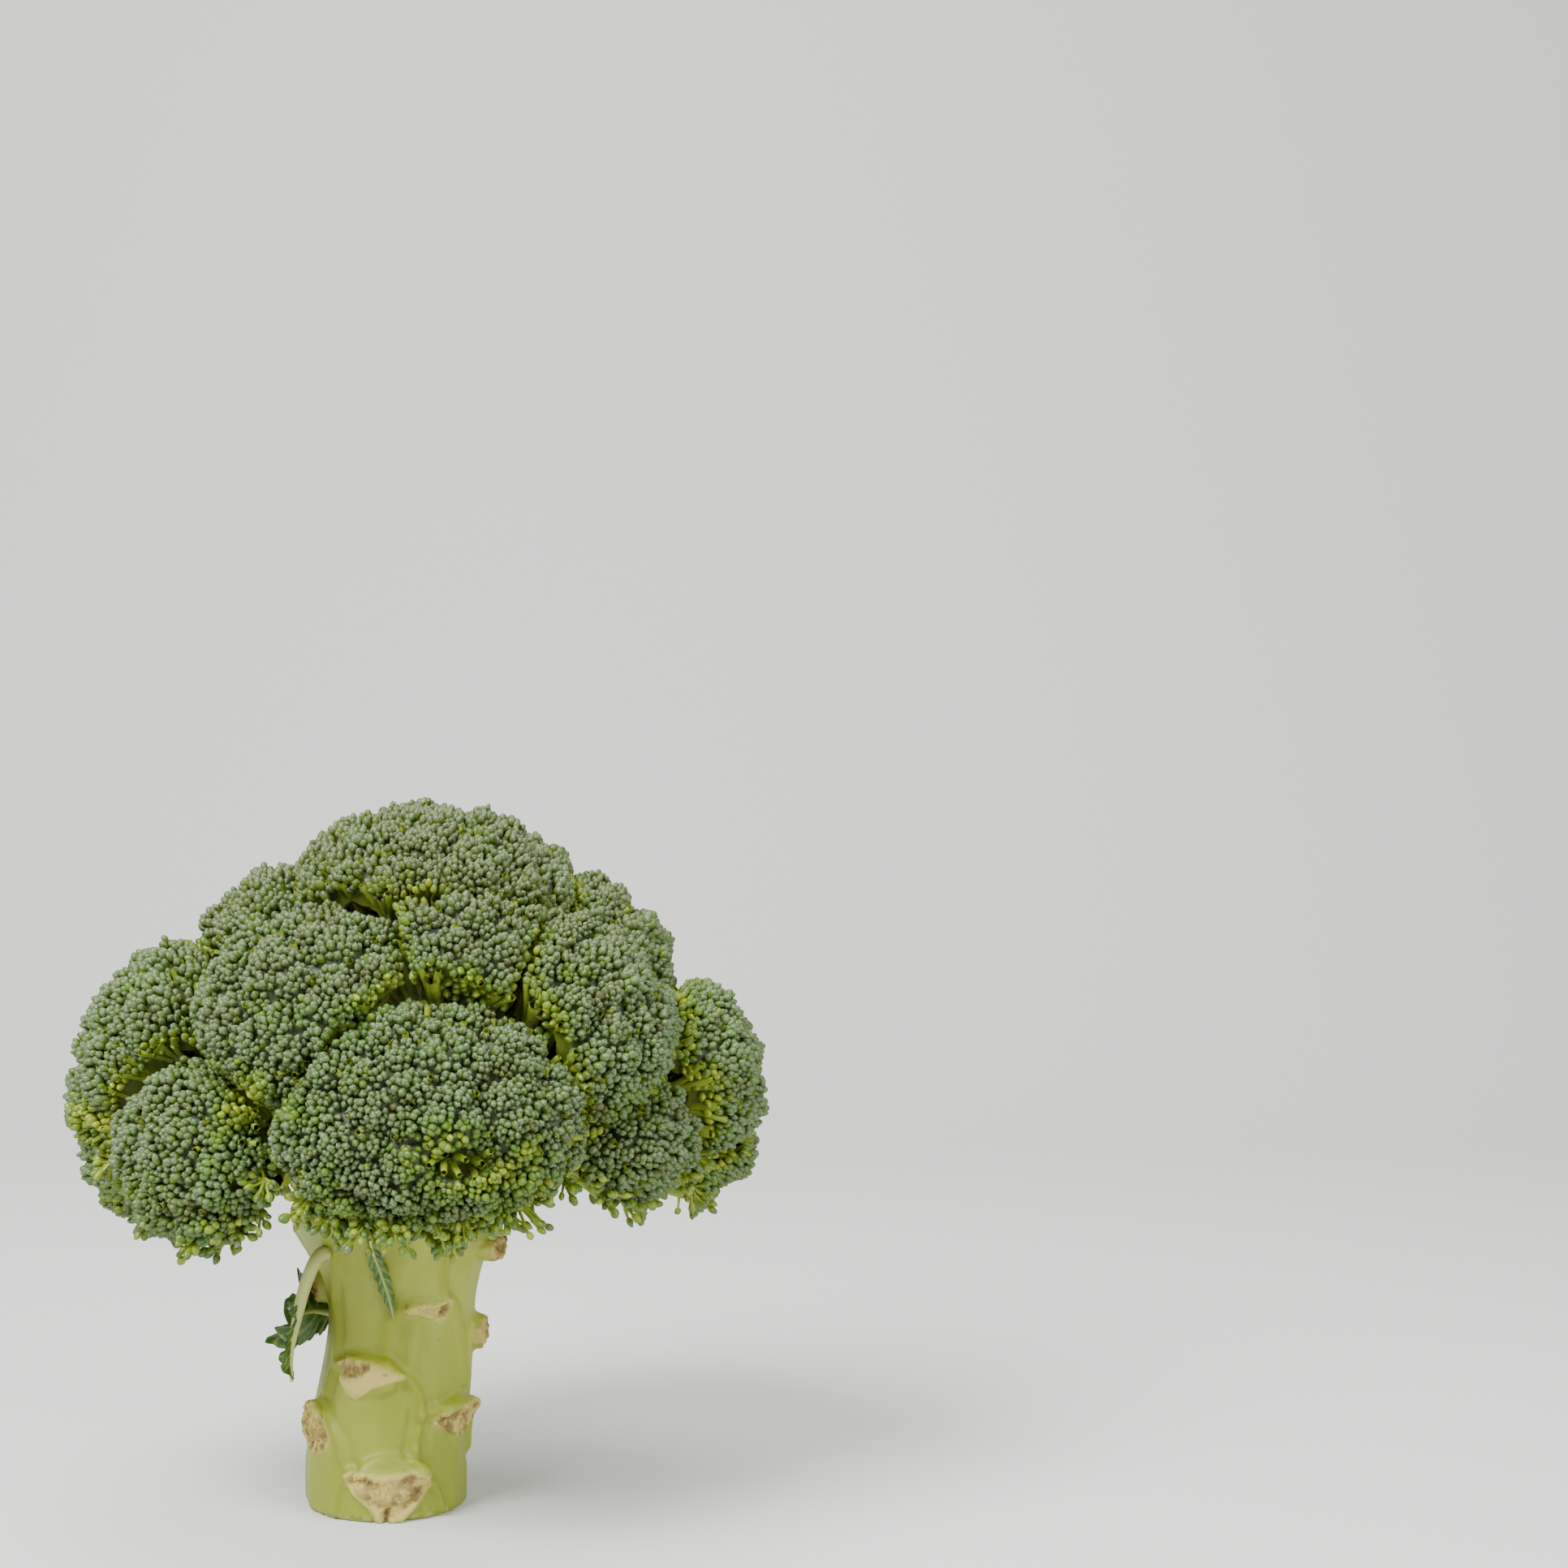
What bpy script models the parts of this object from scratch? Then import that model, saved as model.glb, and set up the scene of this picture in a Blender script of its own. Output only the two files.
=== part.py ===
"""A head of broccoli, built the way it grew.

One stalk forks into branches, each branch carries a domed cluster of flower buds (a floret), and
three small leaves are left on the stalk. Lengths are in metres and +Z is up. The origin is the
centre of the stalk's flat cut face, which the head stands on. The front is -Y, and azimuths turn
from +X towards +Y, in degrees.

All the branches' lines meet at the crown point. Each floret keeps to its own cone from that point,
so neighbours meet on planes through it, a small gap apart.
"""

import math
from dataclasses import dataclass

import bmesh
import bpy
from mathutils import Matrix, Vector
from mathutils.geometry import interpolate_bezier

GAP = 0.0003                # between two pieces that touch

# Where the branches' lines meet
CROWN_HEIGHT = 0.072        # above the cut face
CROWN_SHIFT = 0.006         # to +X

# Stalk
BASE_RADIUS = 0.0176
BASE_EDGE = 0.0009          # worn edge round the cut face
FOOT_HEIGHT = 0.006         # straight part above the cut face
FLARE_DROP = 0.008          # from the crown point down to the flare, where the branches leave
FLARE_HEIGHT = CROWN_HEIGHT - FLARE_DROP
FLARE_RISE = 0.021          # from the waist up to the flare
WAIST_HEIGHT = FLARE_HEIGHT - FLARE_RISE
WAIST_RADIUS = 0.0158
WAIST_SHIFT = 0.0035        # the waist leans this far to +X
FLARE_RADIUS = 0.0240
FLARE_SHIFT = 0.0022
FLARE_CURVE = 1.6           # 1 is a straight cone from waist to flare, more is hollower
SHOULDER_HEIGHT = 0.008     # stalk above the flare, between the branches
SHOULDER_RADIUS = 0.016
STALK_RING_STEP = 0.0045

# Branches
FORK_HEIGHT = FLARE_HEIGHT - 0.024    # where they part inside the stalk
FORK_RADIUS = 0.006         # a branch where it parts
BRANCH_LENGTH = 0.031       # crown point to the floret's neck
BRANCH_TIP = 0.003          # straight end of a branch
BRANCH_STEPS = 6

# Florets
CROWN_RADIUS = 0.072        # crown point to an average dome top
DOME_SKIRT = 0.35           # the dome runs this share of its depth below its widest ring
DOME_SEGMENTS = 20
DOME_RINGS = 12
NECK_SEGMENTS = 12

# Leaves
LEAF_THICKNESS = 0.0009
LEAF_EDGE = 0.0008          # half the width that a blade keeps at its ends
LEAF_ROOT = 0.0015          # straight start of a rib, square to the stalk's side
RIB_STEPS = 12
BLADE_STEPS = 8
BLADE_STRIPS = 4

# The narrow leaf that lies on the front of the stalk
FRONT_LEAF_TOP = FLARE_HEIGHT - 0.0030
FRONT_LEAF_TIP = FRONT_LEAF_TOP - 0.0165
FRONT_LEAF_TOP_AZIMUTH = -97
FRONT_LEAF_TIP_AZIMUTH = -89
FRONT_LEAF_HALF_WIDTH = 0.0016


@dataclass(frozen=True)
class Floret:
    """One cluster of buds: where it points, how far it stands out, and its half sizes."""

    name: str
    azimuth: float
    elevation: float
    stand_out: float        # dome top beyond CROWN_RADIUS
    half_width: float       # across, along the horizon
    half_height: float      # across, up and down
    half_depth: float       # along its own branch
    neck_radius: float

    def direction(self):
        turn, rise = math.radians(self.azimuth), math.radians(self.elevation)
        return Vector((math.cos(turn) * math.cos(rise), math.sin(turn) * math.cos(rise), math.sin(rise)))

    def across(self):
        turn = math.radians(self.azimuth)
        return Vector((-math.sin(turn), math.cos(turn), 0.0))

    def upward(self):
        return self.direction().cross(self.across())

    def centre_distance(self):
        return CROWN_RADIUS + self.stand_out - self.half_depth

    def spread_towards(self, other):
        """Half angle that this floret takes, seen from the crown point, on the side of other."""
        aim, axis = other.direction(), self.direction()
        aim = (aim - axis * aim.dot(axis)).normalized()
        sideways = aim.dot(self.across()) / self.half_width
        upwards = aim.dot(self.upward()) / self.half_height
        half_size = 1.0 / math.hypot(sideways, upwards)
        return math.atan2(half_size, self.centre_distance())


FLORETS = (
    Floret("floret_top", 0, 84, 0.0095, 0.042, 0.034, 0.022, 0.0070),
    Floret("floret_top_left", 168, 61, 0.003, 0.025, 0.022, 0.017, 0.0050),
    Floret("floret_centre_upper", -64, 55, 0.005, 0.025, 0.023, 0.015, 0.0050),
    Floret("floret_left_middle", -114, 46, 0.003, 0.028, 0.025, 0.018, 0.0060),
    Floret("floret_right_middle", -37, 39, 0.006, 0.026, 0.026, 0.018, 0.0060),
    Floret("floret_front", -79.5, 22.5, 0.001, 0.035, 0.025, 0.020, 0.0065),
    Floret("floret_lower_left", -139, 11, 0.000, 0.0225, 0.020, 0.016, 0.0055),
    Floret("floret_far_left", -174, 26, 0.007, 0.027, 0.028, 0.018, 0.0060),
    Floret("floret_far_left_lower", 176, 4, 0.002, 0.016, 0.0155, 0.013, 0.0045),
    Floret("floret_right_lower", -25, 12, -0.002, 0.0175, 0.014, 0.013, 0.0045),
    Floret("floret_far_right", 1, 21, 0.010, 0.024, 0.0225, 0.018, 0.0055),
    Floret("floret_far_right_lower", 5, 7, 0.006, 0.016, 0.014, 0.013, 0.0045),
    Floret("floret_right_upper", 9, 51, 0.006, 0.025, 0.024, 0.018, 0.0055),
    Floret("floret_back_left", 139, 14, 0.000, 0.027, 0.0235, 0.017, 0.0055),
    Floret("floret_back", 95, 17, -0.002, 0.030, 0.025, 0.018, 0.0060),
    Floret("floret_back_right", 48, 15, 0.002, 0.027, 0.0235, 0.017, 0.0055),
    Floret("floret_back_left_upper", 123, 46, 0.003, 0.027, 0.024, 0.018, 0.0055),
    Floret("floret_back_right_upper", 68, 47, 0.005, 0.027, 0.024, 0.018, 0.0055),
)


@dataclass(frozen=True)
class LeafScar:
    """The base of a leaf that broke off: a low pad, or a torn stub that stands out.

    The upper ones are placed from the flare, and the lower ones from the cut face.
    """

    azimuth: float
    height: float
    half_width: float
    half_height: float
    stand_out: float


LEAF_SCARS = (
    LeafScar(-81, 0.0095, 0.0080, 0.0055, 0.0014),
    LeafScar(-104, FLARE_HEIGHT - 0.0330, 0.0068, 0.0048, 0.0016),
    LeafScar(-27, 0.0220, 0.0060, 0.0042, 0.0014),
    LeafScar(-157, 0.0190, 0.0050, 0.0045, 0.0016),
    LeafScar(-62, FLARE_HEIGHT - 0.0180, 0.0052, 0.0022, 0.0010),
    LeafScar(4, 0.0375, 0.0045, 0.0042, 0.0032),
    LeafScar(-14, FLARE_HEIGHT - 0.0070, 0.0055, 0.0030, 0.0046),
    LeafScar(174, FLARE_HEIGHT - 0.0165, 0.0045, 0.0035, 0.0030),
    LeafScar(118, 0.0120, 0.0075, 0.0050, 0.0015),
    LeafScar(62, 0.0270, 0.0066, 0.0046, 0.0016),
    LeafScar(138, 0.0360, 0.0060, 0.0042, 0.0018),
    LeafScar(88, FLARE_HEIGHT - 0.0155, 0.0050, 0.0030, 0.0020),
)


@dataclass(frozen=True)
class Leaf:
    """A leaf on a stalk of its own, with its tip placed from its root on the stalk."""

    name: str
    azimuth: float
    height: float
    out: float              # tip from root: away from the stalk,
    around: float           # round it towards larger azimuths,
    drop: float             # and down
    arch: float             # how far it rises off the stalk before it turns down
    root_radius: float
    tip_radius: float
    blade_start: float      # share of the rib where the blade begins
    blade_overhang: float   # blade beyond the end of the rib
    blade_half_width: float


LEAVES = (
    Leaf("leaf_left", -130, FLARE_HEIGHT - 0.0065, out=0.0068, around=-0.0047, drop=0.0215, arch=0.0080,
         root_radius=0.0015, tip_radius=0.0009, blade_start=0.62, blade_overhang=0.0060,
         blade_half_width=0.0050),
    Leaf("leaf_behind", 165, FLARE_HEIGHT - 0.0240, out=0.0085, around=0.0110, drop=0.0045, arch=0.0030,
         root_radius=0.0011, tip_radius=0.0007, blade_start=0.15, blade_overhang=0.0025,
         blade_half_width=0.0062),
)


def crown_point():
    return Vector((CROWN_SHIFT, 0.0, CROWN_HEIGHT))


def eased(value):
    """A share from 0 to 1 that starts and ends level."""
    value = min(max(value, 0.0), 1.0)
    return value * value * (3.0 - 2.0 * value)


def stalk_at(height):
    """The stalk's centre line along X and its radius at a height up to the flare."""
    if height <= WAIST_HEIGHT:
        share = eased((height - FOOT_HEIGHT) / (WAIST_HEIGHT - FOOT_HEIGHT))
        return WAIST_SHIFT * share, BASE_RADIUS + (WAIST_RADIUS - BASE_RADIUS) * share
    share = min((height - WAIST_HEIGHT) / (FLARE_HEIGHT - WAIST_HEIGHT), 1.0)
    shift = WAIST_SHIFT + (FLARE_SHIFT - WAIST_SHIFT) * eased(share)
    return shift, WAIST_RADIUS + (FLARE_RADIUS - WAIST_RADIUS) * share ** FLARE_CURVE


def on_stalk(azimuth, height, lift=0.0):
    """The point on the stalk's side at an azimuth and height, and lift outside it."""
    shift, radius = stalk_at(height)
    turn = math.radians(azimuth)
    reach = radius + lift
    return Vector((shift + reach * math.cos(turn), reach * math.sin(turn), height))


def off_stalk(azimuth, height):
    """The direction square to the stalk's side."""
    turn, step = math.radians(azimuth), STALK_RING_STEP / 10
    along = on_stalk(azimuth, height + step) - on_stalk(azimuth, height - step)
    around = Vector((-math.sin(turn), math.cos(turn), 0.0))
    return around.cross(along).normalized()


def new_collection(name):
    collection = bpy.data.collections.new(name)
    bpy.context.scene.collection.children.link(collection)
    return collection


def new_material(name, colour, roughness):
    material = bpy.data.materials.new(name)
    material.use_nodes = True
    shader = material.node_tree.nodes["Principled BSDF"]
    shader.inputs["Base Color"].default_value = (*colour, 1.0)
    shader.inputs["Roughness"].default_value = roughness
    shader.inputs["Metallic"].default_value = 0.0
    return material


def add_mesh(name, bm, collection, material=None):
    """Turn a bmesh into an object whose faces point outwards."""
    bmesh.ops.recalc_face_normals(bm, faces=bm.faces)
    mesh = bpy.data.meshes.new(name)
    bm.to_mesh(mesh)
    bm.free()
    if material:
        mesh.materials.append(material)
    obj = bpy.data.objects.new(name, mesh)
    collection.objects.link(obj)
    return obj


def add_tube(name, points, radii, collection, resolution, material=None):
    """A round tube with flat caps through the points, as one welded mesh."""
    curve = bpy.data.curves.new(name, "CURVE")
    curve.dimensions = "3D"
    curve.bevel_depth = max(radii)
    curve.bevel_resolution = resolution
    curve.use_fill_caps = True
    spline = curve.splines.new("POLY")
    spline.points.add(len(points) - 1)
    for spot, point, radius in zip(spline.points, points, radii):
        spot.co = (*point, 1.0)
        spot.radius = radius / curve.bevel_depth
    guide = bpy.data.objects.new(name + "_guide", curve)
    collection.objects.link(guide)
    evaluated = guide.evaluated_get(bpy.context.evaluated_depsgraph_get())
    tube_mesh = bpy.data.meshes.new_from_object(evaluated)
    bpy.data.objects.remove(guide)
    bm = bmesh.new()
    bm.from_mesh(tube_mesh)
    bpy.data.meshes.remove(tube_mesh)
    bmesh.ops.remove_doubles(bm, verts=bm.verts, dist=0.00001)
    return add_mesh(name, bm, collection, material)


def as_cutter(obj):
    obj.hide_render = True
    obj.display_type = "WIRE"
    return obj


def add_boolean(obj, operation, operand):
    """Join or cut obj with an object, or with all the objects of a collection."""
    modifier = obj.modifiers.new(operation.title(), "BOOLEAN")
    modifier.operation = operation
    modifier.solver = "EXACT"
    if isinstance(operand, bpy.types.Collection):
        modifier.operand_type = "COLLECTION"
        modifier.collection = operand
    else:
        modifier.object = operand


def add_stem(parts, material):
    """The main stem: level rings up a straight line, then each slid sideways to where it leans."""
    steps = math.ceil((FLARE_HEIGHT - FOOT_HEIGHT) / STALK_RING_STEP)
    rise = (FLARE_HEIGHT - FOOT_HEIGHT) / steps
    heights = [0.0, BASE_EDGE] + [FOOT_HEIGHT + rise * step for step in range(steps + 1)]
    radii = [stalk_at(height)[1] for height in heights]
    radii[0] -= BASE_EDGE
    heights.append(FLARE_HEIGHT + SHOULDER_HEIGHT)
    radii.append(SHOULDER_RADIUS)
    centres = [Vector((0.0, 0.0, height)) for height in heights]
    stem = add_tube("stalk", centres, radii, parts, resolution=5, material=material)
    for vert in stem.data.vertices:
        vert.co.x += stalk_at(vert.co.z)[0]
    return stem


def add_branch(floret, collection):
    """The branch from the fork, up through the flare and straight into the floret's neck."""
    start = Vector((stalk_at(FORK_HEIGHT)[0], 0.0, FORK_HEIGHT))
    end = crown_point() + floret.direction() * (BRANCH_LENGTH - GAP)
    bend = end - floret.direction() * BRANCH_TIP
    swing = (bend - start).length / 3.0
    lift, pull = start + Vector((0.0, 0.0, swing)), bend - floret.direction() * swing
    points, radii = [], []
    for step in range(BRANCH_STEPS + 1):
        share = step / BRANCH_STEPS
        rest = 1.0 - share
        points.append(start * rest ** 3 + lift * 3 * rest ** 2 * share
                      + pull * 3 * rest * share ** 2 + bend * share ** 3)
        radii.append(FORK_RADIUS + (floret.neck_radius - FORK_RADIUS) * share)
    points.append(end)
    radii.append(floret.neck_radius)
    return as_cutter(add_tube(floret.name + "_branch", points, radii, collection, resolution=2))


def add_scar(number, scar, collection):
    """A flattened ball on the stalk's side, half sunk, where a leaf grew."""
    outward = on_stalk(scar.azimuth, scar.height, 1.0) - on_stalk(scar.azimuth, scar.height)
    across = Vector((0.0, 0.0, 1.0)).cross(outward)
    pad_axes = Matrix((across * scar.half_width, outward * scar.stand_out,
                       Vector((0.0, 0.0, scar.half_height)))).transposed().to_4x4()
    pad_axes.translation = on_stalk(scar.azimuth, scar.height)
    bm = bmesh.new()
    bmesh.ops.create_icosphere(bm, subdivisions=2, radius=1.0, matrix=pad_axes)
    return as_cutter(add_mesh(f"leaf_scar_{number}", bm, collection))


def build_stalk(parts, cutters, material):
    """Main stem, branches and leaf scars, joined as the one piece that they grew as."""
    stalk = add_stem(parts, material)
    grown = bpy.data.collections.new("stalk_growth")
    cutters.children.link(grown)
    for floret in FLORETS:
        add_branch(floret, grown)
    for number, scar in enumerate(LEAF_SCARS, start=1):
        add_scar(number, scar, grown)
    add_boolean(stalk, "UNION", grown)
    return stalk


def cut_by_plane(bm, point, normal):
    """Take away what lies beyond a plane and close the cut."""
    geometry = bm.verts[:] + bm.edges[:] + bm.faces[:]
    result = bmesh.ops.bisect_plane(bm, geom=geometry, dist=0.0000001, plane_co=point, plane_no=normal,
                                    clear_outer=True)
    rim = [item for item in result["geom_cut"] if isinstance(item, bmesh.types.BMEdge)]
    if rim:
        bmesh.ops.edgeloop_fill(bm, edges=rim)


def build_floret(floret, parts, material):
    """A dome on a cone that narrows to the neck, trimmed to its own share of the crown."""
    axis, origin = floret.direction(), crown_point()
    dome_axes = Matrix((floret.across() * floret.half_width, floret.upward() * floret.half_height,
                        axis * floret.half_depth)).transposed().to_4x4()
    dome_axes.translation = origin + axis * floret.centre_distance()
    skirt = floret.centre_distance() - DOME_SKIRT * floret.half_depth
    bm = bmesh.new()
    bmesh.ops.create_uvsphere(bm, u_segments=DOME_SEGMENTS, v_segments=DOME_RINGS, radius=1.0,
                              matrix=dome_axes)
    lowest = max(skirt, BRANCH_LENGTH)
    under = [vert for vert in bm.verts if (vert.co - origin).dot(axis) < lowest]
    bmesh.ops.delete(bm, geom=under, context="VERTS")
    bmesh.ops.delete(bm, geom=bm.faces[:], context="FACES_ONLY")
    bmesh.ops.delete(bm, geom=bm.edges[:], context="EDGES_FACES")
    neck_axes = dome_axes.to_3x3().normalized().to_4x4()
    neck_axes.translation = origin + axis * BRANCH_LENGTH
    bmesh.ops.create_circle(bm, segments=NECK_SEGMENTS, radius=floret.neck_radius, matrix=neck_axes)
    bmesh.ops.convex_hull(bm, input=bm.verts[:])
    for other in FLORETS:
        if other is floret:
            continue
        towards = (other.direction() / math.cos(other.spread_towards(floret))
                   - axis / math.cos(floret.spread_towards(other))).normalized()
        cut_by_plane(bm, origin - towards * GAP / 2, towards)
    return add_mesh(floret.name, bm, parts, material)


def add_blade(name, place, collection, material=None):
    """A thin curved leaf blade; place gives a point for shares along and across it."""
    bm = bmesh.new()
    bmesh.ops.create_grid(bm, x_segments=BLADE_STRIPS, y_segments=BLADE_STEPS, size=0.5)
    for vert in bm.verts:
        vert.co = place(vert.co.y + 0.5, vert.co.x * 2.0)
    blade = add_mesh(name, bm, collection, material)
    thick = blade.modifiers.new("Thickness", "SOLIDIFY")
    thick.thickness = LEAF_THICKNESS
    thick.offset = 0.0
    return blade


def blade_width(share, half_width):
    """Half width along a blade: widest past the middle, narrow but not sharp at both ends."""
    return LEAF_EDGE + (half_width - LEAF_EDGE) * math.sin(math.pi * share ** 1.2)


def build_leaf(leaf, parts, cutters, material):
    """A rib that leaves the stalk square to its side and arches down, with a blade round its end."""
    square = off_stalk(leaf.azimuth, leaf.height)
    seat = on_stalk(leaf.azimuth, leaf.height) + square * GAP
    root = seat + square * LEAF_ROOT
    turn = math.radians(leaf.azimuth)
    out = Vector((math.cos(turn), math.sin(turn), 0.0))
    around = Vector((-math.sin(turn), math.cos(turn), 0.0))
    tip = root + out * leaf.out + around * leaf.around - Vector((0.0, 0.0, leaf.drop))
    root_handle = root + square * leaf.arch
    tip_handle = tip.lerp(root_handle, 0.5) + out * leaf.arch / 4
    rib = [seat] + interpolate_bezier(root, root_handle, tip_handle, tip, RIB_STEPS)
    radii = [leaf.root_radius + (leaf.tip_radius - leaf.root_radius) * step / RIB_STEPS
             for step in range(RIB_STEPS + 1)]
    stem = add_tube(leaf.name, rib, radii, parts, resolution=2, material=material)
    blade_line = rib[round(leaf.blade_start * RIB_STEPS):]
    blade_line.append(tip + (rib[-1] - rib[-2]).normalized() * leaf.blade_overhang)

    def place(along, across):
        spot = along * (len(blade_line) - 1)
        first = min(int(spot), len(blade_line) - 2)
        start, end = blade_line[first], blade_line[first + 1]
        side = (blade_line[-1] - blade_line[0]).cross(out).normalized()
        return start.lerp(end, spot - first) + side * across * blade_width(along, leaf.blade_half_width)

    add_boolean(stem, "UNION", as_cutter(add_blade(leaf.name + "_blade", place, cutters)))


def build_front_leaf(parts, material):
    """A narrow leaf that follows the stalk's side."""
    def place(along, across):
        height = FRONT_LEAF_TOP + (FRONT_LEAF_TIP - FRONT_LEAF_TOP) * along
        azimuth = FRONT_LEAF_TOP_AZIMUTH + (FRONT_LEAF_TIP_AZIMUTH - FRONT_LEAF_TOP_AZIMUTH) * along
        width = blade_width(along, FRONT_LEAF_HALF_WIDTH)
        azimuth += math.degrees(across * width / stalk_at(height)[1])
        return on_stalk(azimuth, height) + off_stalk(azimuth, height) * (GAP + LEAF_THICKNESS / 2)

    add_blade("leaf_front", place, parts, material)


def main():
    for obj in list(bpy.data.objects):
        bpy.data.objects.remove(obj)
    parts = new_collection("broccoli_head")
    cutters = new_collection("cutters")
    stalk_green = new_material("stalk_green", (0.36, 0.37, 0.09), 0.45)
    bud_green = new_material("bud_green", (0.13, 0.18, 0.07), 0.6)
    leaf_green = new_material("leaf_green", (0.07, 0.13, 0.02), 0.5)
    build_stalk(parts, cutters, stalk_green)
    for floret in FLORETS:
        build_floret(floret, parts, bud_green)
    for leaf in LEAVES:
        build_leaf(leaf, parts, cutters, leaf_green)
    build_front_leaf(parts, leaf_green)


main()
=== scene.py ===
"""A head of broccoli, dressed: every flower bud, its branchlets, the stalk's skin and the leaves.

Lengths in this file are in millimetres, in the frame of the solids, and `MM` turns them to metres
when a mesh is made. Angles are in degrees: azimuths turn from +X towards +Y, so -90 is the front.

The crown is shaped from the solids. Each floret's outer surface is sampled, rounded off towards its
neighbours, raised into smaller clusters, and set with buds that stand as close as they grow.
"""

import logging
import math
from collections import defaultdict
from dataclasses import dataclass, field
from enum import Enum

import bpy
import numpy as np
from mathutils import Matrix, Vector, noise
from mathutils.bvhtree import BVHTree
from mathutils.kdtree import KDTree

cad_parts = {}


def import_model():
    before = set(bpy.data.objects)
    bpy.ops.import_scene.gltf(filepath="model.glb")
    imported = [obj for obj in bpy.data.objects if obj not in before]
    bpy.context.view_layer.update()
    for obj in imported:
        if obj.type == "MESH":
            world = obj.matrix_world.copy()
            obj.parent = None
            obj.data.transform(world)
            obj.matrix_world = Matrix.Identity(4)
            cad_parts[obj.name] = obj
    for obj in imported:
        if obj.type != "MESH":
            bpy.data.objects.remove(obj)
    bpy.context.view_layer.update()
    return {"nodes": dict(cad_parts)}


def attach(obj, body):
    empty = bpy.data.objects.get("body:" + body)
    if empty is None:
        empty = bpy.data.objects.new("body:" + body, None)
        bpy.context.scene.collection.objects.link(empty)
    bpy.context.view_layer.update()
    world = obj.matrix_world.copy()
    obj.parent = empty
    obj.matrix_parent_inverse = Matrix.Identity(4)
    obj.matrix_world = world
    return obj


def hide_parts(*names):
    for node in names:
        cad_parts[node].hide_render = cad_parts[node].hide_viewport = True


MM = 0.001
SEED = 41
CROWN_POINT = np.array((6.0, 0.0, 72.0))     # where the branches' lines meet
NECK_DISTANCE = 31.0                         # from there to where a floret starts
STALK_STATIONS = ((0.0, 17.0), (6.0, 17.6), (43.0, 15.8), (50.0, 16.6), (57.0, 19.9), (64.0, 24.0))

log = logging.getLogger("broccoli")


# ---------------------------------------------------------------------------------------------
# Small tools
# ---------------------------------------------------------------------------------------------

def srgb(code: str) -> tuple[float, float, float, float]:
    """Turn an sRGB hex colour into the linear colour that a shader takes.

    Args:
        code: six hex digits, such as "7f9a4e".

    Returns:
        Red, green, blue and an alpha of 1.
    """
    parts = [int(code[start:start + 2], 16) / 255.0 for start in (0, 2, 4)]
    linear = [part / 12.92 if part <= 0.04045 else ((part + 0.055) / 1.055) ** 2.4 for part in parts]
    return (*linear, 1.0)


def smooth(values: np.ndarray | float, low: float, high: float) -> np.ndarray | float:
    """Ease from 0 at low to 1 at high.

    Args:
        values: what is eased.
        low: where the ease starts.
        high: where it ends.

    Returns:
        Shares from 0 to 1.
    """
    share = np.clip((values - low) / (high - low), 0.0, 1.0)
    return share * share * (3.0 - 2.0 * share)


def unit(vectors: np.ndarray) -> np.ndarray:
    """Vectors of length 1 that point as the given ones do."""
    return vectors / np.maximum(np.linalg.norm(vectors, axis=-1, keepdims=True), 1e-9)


def pointing(azimuth: float, elevation: float) -> np.ndarray:
    """The unit vector at an azimuth and an elevation, in degrees."""
    turn, rise = math.radians(azimuth), math.radians(elevation)
    return np.array((math.cos(turn) * math.cos(rise), math.sin(turn) * math.cos(rise), math.sin(rise)))


def roughness_at(points: np.ndarray, size: float, offset: float = 0.0) -> np.ndarray:
    """Soft random values, about -1 to 1, that vary over a given distance.

    Args:
        points: positions, one in each row.
        size: the distance that one swell takes.
        offset: moves to another part of the pattern.

    Returns:
        One value for each point.
    """
    shift = Vector((offset, offset * 1.7, -offset))
    return np.array([noise.noise(Vector(point) / size + shift) for point in points])


def side_axes(axes: np.ndarray) -> tuple[np.ndarray, np.ndarray]:
    """Two directions square to each axis and to each other.

    Args:
        axes: unit vectors, one in each row.

    Returns:
        Two arrays of unit vectors.
    """
    helper = np.where(np.abs(axes[..., 2:3]) < 0.9, (0.0, 0.0, 1.0), (1.0, 0.0, 0.0))
    first = unit(np.cross(helper, axes))
    return first, np.cross(axes, first)


def node_mesh(obj: bpy.types.Object) -> tuple[np.ndarray, np.ndarray]:
    """A mesh's corners in millimetres and its triangles.

    Args:
        obj: a mesh object that sits at the origin.

    Returns:
        Corner positions and triangles of corner numbers.
    """
    mesh = obj.data
    mesh.calc_loop_triangles()
    corners = np.empty(len(mesh.vertices) * 3)
    mesh.vertices.foreach_get("co", corners)
    triangles = np.empty(len(mesh.loop_triangles) * 3, dtype=np.int32)
    mesh.loop_triangles.foreach_get("vertices", triangles)
    return corners.reshape(-1, 3) / MM, triangles.reshape(-1, 3)


def remeshed(obj: bpy.types.Object, voxel: float, rounds: int) -> tuple[np.ndarray, np.ndarray]:
    """An even, softened skin over a solid.

    Args:
        obj: the solid.
        voxel: edge length of the new skin.
        rounds: how often it is smoothed.

    Returns:
        Corner positions in millimetres and triangles of corner numbers.
    """
    work = bpy.data.objects.new("remesh_work", obj.data.copy())
    bpy.context.scene.collection.objects.link(work)
    even = work.modifiers.new("Even", "REMESH")
    even.mode = "VOXEL"
    even.voxel_size = voxel * MM
    soft = work.modifiers.new("Soft", "SMOOTH")
    soft.iterations = rounds
    evaluated = work.evaluated_get(bpy.context.evaluated_depsgraph_get())
    mesh = bpy.data.meshes.new_from_object(evaluated)
    holder = bpy.data.objects.new("remesh_result", mesh)
    result = node_mesh(holder)
    for item in (work, holder):
        bpy.data.objects.remove(item)
    return result


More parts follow.
